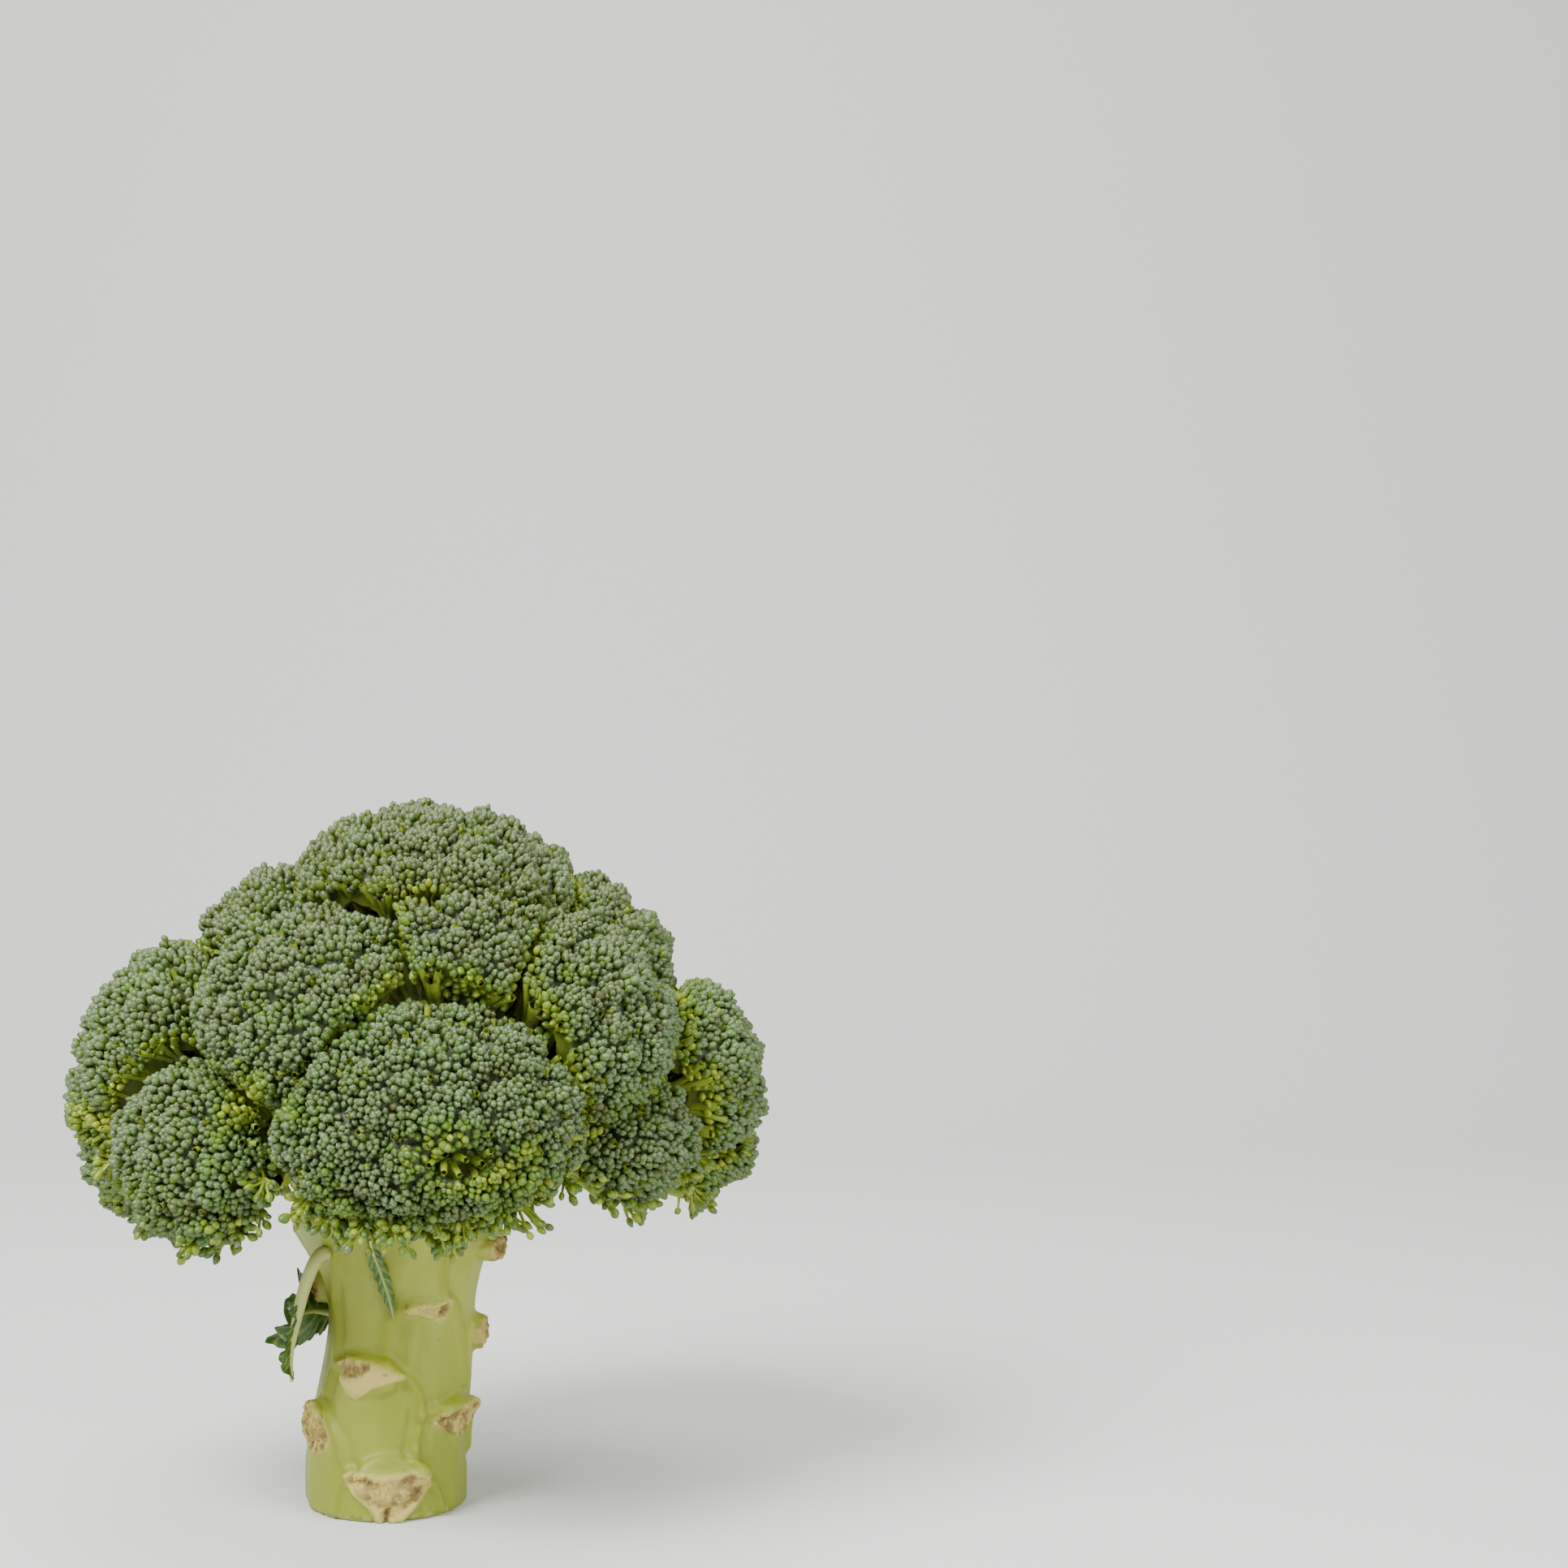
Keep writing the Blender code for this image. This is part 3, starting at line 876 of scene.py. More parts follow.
@dataclass(frozen=True)
class Hollow:
    """A gap in the crown where buds stand apart and the branchlets show."""

    azimuth: float
    elevation: float
    half_width: float
    half_height: float
    depth: float

    def share(self, points: np.ndarray, spread: float = 1.0) -> np.ndarray:
        """How far inside the gap points lie.

        Args:
            points: positions.
            spread: how many times wider and taller the gap is taken to be.

        Returns:
            1 in the middle, easing to 0 at its edge.
        """
        away = points - CROWN_POINT
        reach = np.linalg.norm(away, axis=1)
        turn = np.degrees(np.arctan2(away[:, 1], away[:, 0])) - self.azimuth
        turn = (turn + 180.0) % 360.0 - 180.0
        rise = np.degrees(np.arcsin(away[:, 2] / reach)) - self.elevation
        level = reach * math.cos(math.radians(self.elevation))
        across = np.radians(turn) * level / self.half_width
        upward = np.radians(rise) * reach / self.half_height
        return 1.0 - smooth(np.hypot(across, upward) / spread, 0.45, 1.0)


@dataclass(frozen=True)
class Tassel:
    """A loose bunch of buds on long stems, which hangs below the crown."""

    azimuth: float
    elevation: float
    reach: float                        # from the crown point
    count: int
    shortest: float
    longest: float
    spread: float = 0.75
    drop: float = 0.5                   # how much the stems turn down

    def place(self) -> np.ndarray:
        """Where the stems start."""
        return CROWN_POINT + pointing(self.azimuth, self.elevation) * self.reach


@dataclass(frozen=True)
class SidePlaces:
    """Places on a floret's open sides, one row each."""

    points: np.ndarray
    normals: np.ndarray
    below: np.ndarray       # how far the dome's surface lies outside each


@dataclass(frozen=True)
class BudPlaces:
    """Chosen places for buds, one row each."""

    points: np.ndarray      # on the budded surface
    flat: np.ndarray        # the points of the solid that they come from
    facing: np.ndarray      # roughly which way the surface faces
    steep: np.ndarray       # 0 on top of the dome to 1 at its open rim
    hangs: np.ndarray       # true for a bud on a stem of its own


@dataclass
class Floret:
    """One dome of buds on its branchlets, worked out from the floret's solid."""

    SEAM_TOLERANCE = 0.4        # a face whose plane passes this near the crown point is a seam
    NECK_TOLERANCE = 1.0        # and one this near the neck's sphere is the neck's end
    DOME_FACING = 0.06          # a dome's faces turn at least this much away from the crown point
    RAY_START = 160.0           # a distance from the crown point that is outside every floret

    node: str
    crown: BVHTree                      # all the florets' solids
    hollows: tuple[Hollow, ...]
    tassels: tuple[Tassel, ...]
    dome_tries: float = 8.0             # tried bud places on each square millimetre of the dome
    side_tries: float = 6.0             # and of its sides and underside
    pitch: float = 1.24                 # least distance between buds amid the dome
    rim_pitch: float = 1.52             # and at its rim
    least_pitch: float = 1.08           # where the pattern sets them closest
    bud_widths: tuple[float, float] = (1.15, 2.1)
    lobe_spacing: float = 19.0          # swellings of the whole dome
    lobe_groove: float = 2.6            # depth of the dips between them
    lump_spacing: float = 9.0           # clusters of buds
    lump_groove: float = 2.0
    umbel_spacing: float = 4.8          # small bunches of buds in a cluster
    umbel_groove: float = 0.8
    unevenness: float = 0.5             # a broad random rise and fall
    cluster_root: float = 12.0          # a cluster's buds fan out from this deep
    skin_depth: float = 0.35            # the dome's buds end this far inside the solid
    seam_width: float = 5.0             # the dome rounds off this near to its neighbours
    seam_groove: float = 1.5            # and this deep, high on the crown
    low_seam_groove: float = 2.1        # which is added at the crown's foot
    side_reach: float = 14.0            # buds go this far down an open side
    tassel_spacing: float = 5.5         # loose bunches under the open rim
    tassel_rise: float = 7.0            # and no higher than this above the crown point
    yellow_heights: tuple[float, float] = (60.0, 84.0)      # yellow-green at the crown's foot
    painted_shade_heights: tuple[float, float] = (110.0, 145.0)    # painted shade: darker towards its top
    shell_voxel: float = 1.8
    shell_depth: float = 2.1            # from bud tips to the skin below the buds
    shell_thickness: float = 5.0
    shell_inset: float = 2.3            # the skin lies this far inside the solid's sides
    rng: np.random.Generator = field(init=False)
    name: str = field(init=False)
    solid: bpy.types.Object = field(init=False)
    corners: np.ndarray = field(init=False)
    triangles: np.ndarray = field(init=False)
    areas: np.ndarray = field(init=False)
    normals: np.ndarray = field(init=False)
    is_dome: np.ndarray = field(init=False)
    is_side: np.ndarray = field(init=False)
    planes: np.ndarray = field(init=False)      # normals of the planes it shares with others
    tree: BVHTree = field(init=False)
    axis: np.ndarray = field(init=False)
    neck: np.ndarray = field(init=False)
    lobes: np.ndarray = field(init=False)       # middles of the swellings
    lumps: np.ndarray = field(init=False)       # and of the clusters
    umbels: np.ndarray = field(init=False)      # and of the small bunches
    sides: SidePlaces = field(init=False)

    def __post_init__(self) -> None:
        """Read the solid and work out its axis and the planes that it shares."""
        self.name = self.node.removeprefix("floret_")
        self.rng = np.random.default_rng([SEED, *self.node.encode()])
        self.solid = bpy.data.objects[self.node]
        self.corners, self.triangles = node_mesh(self.solid)
        a, b, c = (self.corners[self.triangles[:, side]] for side in range(3))
        crossed = np.cross(b - a, c - a)
        self.areas = np.linalg.norm(crossed, axis=1) / 2
        self.normals = unit(crossed)
        middles = (a + b + c) / 3
        outward = np.einsum("ij,ij->i", self.normals, unit(middles - CROWN_POINT))
        offset = np.abs(np.einsum("ij,ij->i", self.normals, middles - CROWN_POINT))
        is_cut = offset < self.SEAM_TOLERANCE
        is_neck = np.linalg.norm(middles - CROWN_POINT, axis=1) < NECK_DISTANCE + self.NECK_TOLERANCE
        self.is_dome = (outward > self.DOME_FACING) & ~is_cut
        self.is_side = ~self.is_dome & ~is_neck
        self.planes = self.distinct(self.normals[is_cut & (self.areas > 0.5)])
        self.tree = BVHTree.FromPolygons(self.corners.tolist(), self.triangles.tolist())
        weights = np.where(self.is_dome, self.areas, 0.0)
        self.axis = unit((weights[:, None] * unit(middles - CROWN_POINT)).sum(axis=0))
        self.neck = CROWN_POINT + self.axis_at_neck() * NECK_DISTANCE

    @staticmethod
    def distinct(normals: np.ndarray) -> np.ndarray:
        """Leave out directions that repeat.

        Args:
            normals: unit vectors.

        Returns:
            Those that differ by more than a degree or so.
        """
        kept: list[np.ndarray] = []
        for normal in normals:
            if all(normal @ other < 0.9998 for other in kept):
                kept.append(normal)
        return np.array(kept).reshape(-1, 3)

    def axis_at_neck(self) -> np.ndarray:
        """Find the floret's own direction.

        Returns:
            The unit vector from the crown point to the middle of the neck's flat end.
        """
        reach = np.linalg.norm(self.corners - CROWN_POINT, axis=1)
        ring = self.corners[reach < NECK_DISTANCE + 1.6]
        return unit((ring.max(axis=0) + ring.min(axis=0)) / 2 - CROWN_POINT) if len(ring) else self.axis

    def seam_distance(self, points: np.ndarray) -> np.ndarray:
        """How far points lie from the nearest plane that this floret shares with another.

        Args:
            points: positions.

        Returns:
            One distance for each point.
        """
        if not len(self.planes):
            return np.full(len(points), 99.0)
        return (-(points - CROWN_POINT) @ self.planes.T).min(axis=1)

    def scattered(self, faces: np.ndarray, density: float) -> tuple[np.ndarray, np.ndarray]:
        """Random points all over some of the solid's faces.

        Args:
            faces: true for each triangle that may hold points.
            density: points on each square millimetre.

        Returns:
            The points, and the normals of their faces.
        """
        weights = np.where(faces, self.areas, 0.0)
        count = int(weights.sum() * density)
        chosen = self.rng.choice(len(weights), count, p=weights / weights.sum())
        a, b, c = (self.corners[self.triangles[chosen, side]] for side in range(3))
        u, v = self.rng.random((2, count, 1))
        flip = u + v > 1
        u, v = np.where(flip, 1 - u, u), np.where(flip, 1 - v, v)
        return a + u * (b - a) + v * (c - a), self.normals[chosen]

    def seeds(self, spacing: float) -> np.ndarray:
        """Middles of clusters, spread over the dome.

        Args:
            spacing: about how far apart they are.

        Returns:
            One point in each row.
        """
        points, _ = self.scattered(self.is_dome, 1.5)
        reach = self.rng.uniform(0.65, 1.0, len(points)) * spacing
        return points[spaced(points, reach, self.rng.permutation(len(points)))]

    @staticmethod
    def cluster_share(points: np.ndarray, seeds: np.ndarray) -> tuple[np.ndarray, np.ndarray]:
        """Where points lie in their cluster.

        Args:
            points: positions.
            seeds: middles of the clusters.

        Returns:
            0 in a cluster's middle to 1 on its border, and the cluster's number.
        """
        gaps = np.linalg.norm(points[:, None, :] - seeds[None, :, :], axis=2)
        order = np.argsort(gaps, axis=1)
        nearest = np.take_along_axis(gaps, order[:, :1], axis=1)[:, 0]
        if len(seeds) < 2:
            return np.clip(nearest / 8.0, 0.0, 1.0), order[:, 0]
        second = np.take_along_axis(gaps, order[:, 1:2], axis=1)[:, 0]
        return 2.0 * nearest / np.maximum(nearest + second, 1e-6), order[:, 0]

    def dome_above(self, points: np.ndarray) -> np.ndarray:
        """How far the dome's surface lies outside points, on the line from the crown point.

        Args:
            points: positions on or in the solid.

        Returns:
            One distance for each point.
        """
        away = points - CROWN_POINT
        reach = np.linalg.norm(away, axis=1)
        inner = unit(away / reach[:, None] + self.axis * 0.03)
        heights = np.zeros(len(points))
        for number, ray in enumerate(inner):
            hit = self.tree.ray_cast(Vector(CROWN_POINT + ray * self.RAY_START), Vector(-ray))
            heights[number] = self.RAY_START - hit[3] - reach[number] if hit[0] is not None else 0.0
        return np.maximum(heights, 0.0)

    def daylight(self, points: np.ndarray, normals: np.ndarray) -> np.ndarray:
        """Share of the directions around a normal in which no floret stands close in the way.

        Args:
            points: positions on the solid.
            normals: the normals there.

        Returns:
            Shares from 0 to 1.
        """
        outward = unit(points - CROWN_POINT)
        first, second = side_axes(normals)
        leans = (outward, 0.8 * first, -0.8 * first, 0.8 * second, -0.8 * second)
        rays = [unit(normals + lean) for lean in leans]
        free = np.zeros(len(points))
        starts = points + normals * 1.1
        for directions in rays:
            for number in range(len(points)):
                hit = self.crown.ray_cast(Vector(starts[number]), Vector(directions[number]), 40.0)
                free[number] += hit[0] is None
        return free / len(rays)

    def sunk(self, points: np.ndarray) -> np.ndarray:
        """How deep the crown's surface lies below the dome of the solid.

        Args:
            points: positions on the dome.

        Returns:
            One depth for each point.
        """
        height = (points[:, 2] - CROWN_POINT[2]) / 60.0
        seam = self.seam_groove + self.low_seam_groove * (1.0 - smooth(height, -0.1, 0.75))
        near = np.clip(1.0 - self.seam_distance(points) / self.seam_width, 0.0, 1.0)
        lobe, _ = self.cluster_share(points, self.lobes)
        share, _ = self.cluster_share(points, self.lumps)
        bunch, _ = self.cluster_share(points, self.umbels)
        depth = (self.skin_depth + seam * near ** 1.7 + self.lobe_groove * lobe ** 4
                 + self.lump_groove * share ** 3 + self.umbel_groove * bunch ** 2
                 + self.unevenness * roughness_at(points, 14.0, 23.0))
        for hollow in self.hollows:
            depth = depth + hollow.depth * hollow.share(points)
        return np.maximum(depth, 0.0)

    def steepness(self, points: np.ndarray) -> np.ndarray:
        """How much the dome turns away at points on it.

        Args:
            points: positions on the solid.

        Returns:
            0 on top of the dome to 1 at its open rim.
        """
        away = unit(points - self.neck)
        lean = np.degrees(np.arccos(np.clip(away @ self.axis, -1, 1)))
        return smooth(lean, 30.0, 72.0) * smooth(self.seam_distance(points), 1.0, 9.0)

    def open_sides(self) -> SidePlaces:
        """Find places for buds where the dome's sides and underside can be seen.

        Returns:
            The places.
        """
        points, normals = self.scattered(self.is_side, self.side_tries)
        below = self.dome_above(points)
        groove = 0.7 * self.sunk(points) * (self.seam_distance(points) < 0.5)
        keep = (below > groove) & (below < self.side_reach)
        keep &= self.rng.random(len(points)) > smooth(below, 0.35 * self.side_reach, self.side_reach)
        points, normals, below = points[keep], normals[keep], below[keep]
        lit = self.daylight(points, normals) > 0.35
        return SidePlaces(points[lit], normals[lit], below[lit])

    def bud_places(self) -> BudPlaces:
        """Choose where the buds sit, so that they keep their distance from each other.

        Returns:
            The places.
        """
        flat, _ = self.scattered(self.is_dome, self.dome_tries)
        outward = unit(flat - CROWN_POINT)
        keep = self.seam_distance(flat) > 0.45
        for hollow in self.hollows:
            keep &= hollow.share(flat) < self.rng.uniform(0.35, 0.95, len(flat))
        flat, outward = flat[keep], outward[keep]
        self.sides = self.open_sides()
        points = np.concatenate((flat - outward * self.sunk(flat)[:, None],
                                 self.sides.points - self.sides.normals * 0.9))
        facing = np.concatenate((outward, self.sides.normals))
        flat = np.concatenate((flat, self.sides.points))
        below = np.concatenate((np.zeros(len(outward)), self.sides.below))
        hangs = np.arange(len(flat)) >= len(outward)
        steep = np.where(hangs, 1.0, self.steepness(flat))
        spacing = self.pitch + (self.rim_pitch - self.pitch) * steep + 0.3 * roughness_at(points, 12.0, 3.0)
        spacing = np.maximum(spacing, self.least_pitch)
        spacing[hangs] += 0.1 * smooth(below[hangs], 3.0, 9.0)
        picked = spaced(points, spacing, self.rng.permutation(len(points)))
        return BudPlaces(*(row[picked] for row in (points, flat, facing, steep, hangs)))

    def leans(self, at: BudPlaces) -> np.ndarray:
        """Which way buds lean: apart from others of their cluster, or out of an open side.

        Args:
            at: the buds' places.

        Returns:
            One vector for each bud.
        """
        _, lump = self.cluster_share(at.flat, self.lumps)
        roots = self.lumps[lump] - unit(self.lumps[lump] - CROWN_POINT) * self.cluster_root
        outward = 0.55 * at.facing + 0.75 * unit(at.points - self.neck)
        return np.where(at.hangs[:, None], outward, unit(at.points - roots))

    def yellowness(self, at: BudPlaces) -> np.ndarray:
        """How little wax buds have. Those at rims, seams and gaps and low on the crown have least.

        Args:
            at: the buds' places.

        Returns:
            One share for each bud, which may pass 1.
        """
        low = 1 - smooth(at.flat[:, 2] - CROWN_POINT[2], 2.0, 34.0)
        seam = 1 - smooth(self.seam_distance(at.flat), 0.4, 4.0)
        yellow = np.clip((0.35 + 0.75 * low) * at.steep + 0.55 * seam, 0, 1)
        yellow += 0.42 * (1 - smooth(at.flat[:, 2], *self.yellow_heights))
        for hollow in self.hollows:
            yellow += 0.6 * hollow.share(at.flat, 2.6)
        yellow *= 0.35 + 0.75 * smooth(roughness_at(at.flat, 13.0, 7.0), -0.35, 0.4)
        return yellow + 0.22 * smooth(roughness_at(at.flat, 7.0, 11.0), 0.1, 0.5)

    def grow_buds(self) -> tuple[Buds, np.ndarray]:
        """Set the dome and its open sides with buds.

        Returns:
            The buds, and for each whether it hangs on a stem of its own.
        """
        self.lobes = self.seeds(self.lobe_spacing)
        self.lumps = self.seeds(self.lump_spacing)
        self.umbels = self.seeds(self.umbel_spacing)
        at = self.bud_places()
        count = len(at.points)
        normals, room = self.surface_of(at.points, at.facing)
        axes = unit(0.5 * normals + 0.6 * self.leans(at) + self.rng.normal(0, 0.17, at.points.shape))
        wax_and_highlight = np.clip(1.0 - self.yellowness(at) - self.rng.normal(0, 0.12, count), 0, 1)
        widths = np.clip(room * self.rng.uniform(0.95, 1.18, count), *self.bud_widths)
        lengths = widths * (1.35 + 0.3 * at.steep) * self.rng.uniform(0.9, 1.12, count)
        aged = smooth(roughness_at(at.flat, 5.0, 19.0), 0.28, 0.6) * self.rng.uniform(0.0, 0.8, count)
        tint = 0.5 + 0.45 * roughness_at(at.flat, 9.0, 31.0) + self.rng.normal(0, 0.2, count)
        # Painted shade: buds high on the crown are darker.
        tint -= 0.5 * smooth(at.flat[:, 2], *self.painted_shade_heights)
        tips = at.points + axes * (self.rng.normal(0.0, 0.25, count) + 0.5 * at.hangs)[:, None]
        buds = Buds(tips, axes, widths, lengths, wax_and_highlight, aged * (1 - at.steep), np.clip(tint, 0, 1))
        return buds, at.hangs

    @staticmethod
    def surface_of(points: np.ndarray, facing: np.ndarray) -> tuple[np.ndarray, np.ndarray]:
        """Normals of the budded surface, and the room that each bud has.

        Args:
            points: bud positions.
            facing: roughly which way the surface faces.

        Returns:
            Unit normals, and distances to the nearest buds.
        """
        tree = KDTree(len(points))
        for number, point in enumerate(points):
            tree.insert(point, number)
        tree.balance()
        found = [tree.find_n(point, 12) for point in points]
        around = np.array([[item[0] for item in row] for row in found])
        gaps = np.array([[item[2] for item in row[1:5]] for row in found])
        spread = around - around.mean(axis=1, keepdims=True)
        _, vectors = np.linalg.eigh(np.einsum("nij,nik->njk", spread, spread))
        normals = vectors[:, :, 0]
        normals = normals * np.sign(np.einsum("ij,ij->i", normals, facing))[:, None]
        return normals, gaps.mean(axis=1)

    def add_shell(self, pile: MeshPile) -> None:
        """The skin under the buds, painted dark green as shade where they crowd over it.

        Args:
            pile: the mesh in the making.
        """
        corners, triangles = remeshed(self.solid, self.shell_voxel, 2)
        normals = corner_normals(corners, triangles)
        away = corners - CROWN_POINT
        reach = np.linalg.norm(away, axis=1)
        direction = away / reach[:, None]
        below = self.dome_above(corners)
        surface = corners + direction * below[:, None]
        sunk = self.sunk(surface) + self.shell_depth
        level = reach + below - sunk - np.minimum(below, self.shell_thickness)
        sideways = normals - direction * np.einsum("ij,ij->i", normals, direction)[:, None]
        placed = CROWN_POINT + direction * level[:, None] - sideways * self.shell_inset
        placed += direction * (roughness_at(placed, 2.2, 5.0) * 0.3)[:, None]
        share = smooth(below, 0.5, self.shell_thickness)
        steep = self.steepness(surface)
        seam = 1 - smooth(self.seam_distance(surface), 0.5, 5.0)
        # Painted shade: darkest under the dome's middle, lighter at rims, seams and gaps, where light gets
        # in.
        bloom_and_painted_light = np.clip(0.97 - 0.25 * share - 0.3 * steep - 0.15 * seam, 0.1, 1.0)
        for hollow in self.hollows:
            bloom_and_painted_light = np.maximum(bloom_and_painted_light - 0.4 * hollow.share(surface), 0.0)
        values = np.stack((bloom_and_painted_light, np.full(len(bloom_and_painted_light), 0.5), np.zeros(len(bloom_and_painted_light))), axis=1)
        first, second = side_axes(self.axis[None, :])
        lean = np.arccos(np.clip(direction @ self.axis, -1, 1)) / 1.2
        flat = unit(np.stack((direction @ first[0], direction @ second[0]), axis=1))
        disc = 0.5 + 0.48 * np.clip(lean, 0, 1)[:, None] * flat
        lower = (below > self.shell_thickness * 0.5)[triangles].all(axis=1)
        for side, start in ((~lower, 0.0), (lower, 0.25)):
            pile.add(placed, triangles[side], values, disc * 0.24 + (start + 0.005, 0.755), slot=1)

    def add_branchlets(self, pile: MeshPile, sheet: CellSheet) -> None:
        """Branchlets from the neck to the clusters, and from those to the small bunches.

        Args:
            pile: the mesh in the making.
            sheet: the part of the map that they take.
        """
        ends = self.lumps - unit(self.lumps - CROWN_POINT) * (self.shell_depth + 4.0)
        for end in ends:
            sideways = end - self.neck
            sideways = sideways - self.axis * (sideways @ self.axis)
            start = self.neck - self.axis * 1.5 + unit(sideways) * 2.2
            lead = self.neck + self.axis * 0.45 * ((end - self.neck) @ self.axis) + sideways * 0.25
            self.add_twig(pile, sheet, bend(start, lead, end, 7), 2.3, 1.35, 7)
        for bunch in self.umbels:
            nearest = int(np.argmin(np.linalg.norm(ends - bunch, axis=1)))
            end = bunch - unit(bunch - CROWN_POINT) * (self.shell_depth + 1.5)
            start = self.neck + (ends[nearest] - self.neck) * 0.62
            lead = start + (ends[nearest] - start) * 0.6
            self.add_twig(pile, sheet, bend(start, lead, end, 4), 1.0, 0.7, 5)

    @staticmethod
    def add_twig(pile: MeshPile, sheet: CellSheet, path: np.ndarray, thick: float, thin: float,
                 sides: int) -> None:
        """Add one branchlet.

        Args:
            pile: the mesh in the making.
            sheet: the part of the map that it takes a cell of.
            path: points along its middle.
            thick: radius at its start.
            thin: radius at its end.
            sides: how many sides it has.
        """
        corners, faces, shares = tube(path, np.linspace(thick, thin, len(path)), sides)
        cell = sheet.take(1)[0]
        places = cell + (MeshPile.CELL_MARGIN + shares * (1 - 2 * MeshPile.CELL_MARGIN)) * sheet.cell
        values = np.zeros((len(corners), 3))
        # A touch of painted shade on the branchlets.
        values[:, 0] = 0.1
        values[:, 1] = 0.5
        pile.add(corners, faces, values, places, slot=1)

    def add_stems(self, pile: MeshPile, sheet: CellSheet, buds: Buds) -> None:
        """Thin stems of hanging buds, back to the branchlets.

        Args:
            pile: the mesh in the making.
            sheet: the part of the map that they take.
            buds: the hanging buds.
        """
        for foot, axis in zip(buds.feet(), buds.axes):
            root = foot + (self.neck + self.axis * 6.0 - foot) * self.rng.uniform(0.15, 0.3)
            lead = foot - axis * np.linalg.norm(root - foot) * 0.6
            self.add_twig(pile, sheet, bend(root, lead, foot, 4), 0.40, 0.28, 5)

    def under_tassels(self) -> list[Tassel]:
        """Loose bunches all along the underside that can be seen.

        Returns:
            The bunches.
        """
        sides = self.sides
        keep = (sides.normals[:, 2] < -0.15) & (sides.below > 1.0) & (sides.below < 9.0)
        keep &= sides.points[:, 2] < CROWN_POINT[2] + self.tassel_rise
        if not keep.any():
            return []
        points = sides.points[keep]
        gaps = np.full(len(points), self.tassel_spacing)
        made = []
        for point in points[spaced(points, gaps, self.rng.permutation(len(points)))]:
            away = point - CROWN_POINT
            length = float(np.linalg.norm(away))
            azimuth = math.degrees(math.atan2(away[1], away[0]))
            elevation = math.degrees(math.asin(away[2] / length))
            made.append(Tassel(azimuth, elevation, length - 1.5, int(self.rng.integers(9, 16)), 2.2, 4.2))
        return made

    def hang_buds(self, tassel: Tassel, pile: MeshPile, sheet: CellSheet) -> Buds:
        """Make one loose bunch's stems, and find its buds.

        Args:
            tassel: the bunch.
            pile: the mesh in the making.
            sheet: the part of the map that the stems take.

        Returns:
            The bunch's buds.
        """
        hub, count = tassel.place(), tassel.count
        outward = unit(hub - CROWN_POINT)
        swing = self.rng.normal(0, tassel.spread, (count, 3))
        axes = unit(0.75 * outward + (0, 0, -tassel.drop) + swing)
        axes = np.where((axes @ outward < -0.1)[:, None], -axes, axes)
        reach = self.rng.uniform(tassel.shortest, tassel.longest, count)
        widths = self.rng.uniform(1.3, 2.0, count)
        lengths = widths * self.rng.uniform(1.3, 1.6, count)
        feet = hub + axes * reach[:, None] + (0, 0, -0.1) * reach[:, None] ** 1.3
        for foot in feet:
            side = self.rng.normal(0, 0.35, 3)
            self.add_twig(pile, sheet, bend(hub, (hub + foot) / 2 + side, foot, 5), 0.42, 0.24, 5)
        wax_and_highlight = np.clip(self.rng.normal(0.5, 0.22, count), 0, 1)
        return Buds(feet + axes * lengths[:, None] * 0.96, axes, widths, lengths, wax_and_highlight, np.zeros(count),
                    self.rng.uniform(0.2, 0.8, count))

    def build(self, materials: list[bpy.types.Material]) -> bpy.types.Object:
        """Make the floret.

        Args:
            materials: the buds' material and the branchlets'.

        Returns:
            The floret's one piece.
        """
        buds, hangs = self.grow_buds()
        bunches = [*self.tassels, *self.under_tassels()]
        loose = sum(bunch.count for bunch in bunches)
        pile = MeshPile(("bloom_and_painted_light", "tint", "age"))
        sheet = CellSheet(len(hangs) + loose, (0.0, 0.0), (1.0, 0.75))
        stems = len(self.lumps) + len(self.umbels) + int(hangs.sum()) + loose
        twigs = CellSheet(stems, (0.5, 0.755), (1.0, 1.0))
        buds.chosen(~hangs).add_to(pile, TIGHT_BUD, sheet, self.rng)
        for bunch in bunches:
            self.hang_buds(bunch, pile, twigs).add_to(pile, STALKED_BUD, sheet, self.rng)
        if hangs.any():
            hanging = buds.chosen(hangs)
            hanging.add_to(pile, STALKED_BUD, sheet, self.rng)
            self.add_stems(pile, twigs, hanging)
        self.add_shell(pile)
        self.add_branchlets(pile, twigs)
        piece = pile.build("buds_" + self.name, materials)
        log.info("%s: %d buds, %d hanging, %d in %d bunches, %d faces", piece.name, len(hangs),
                 int(hangs.sum()), loose, len(bunches), len(piece.data.polygons))
        return piece


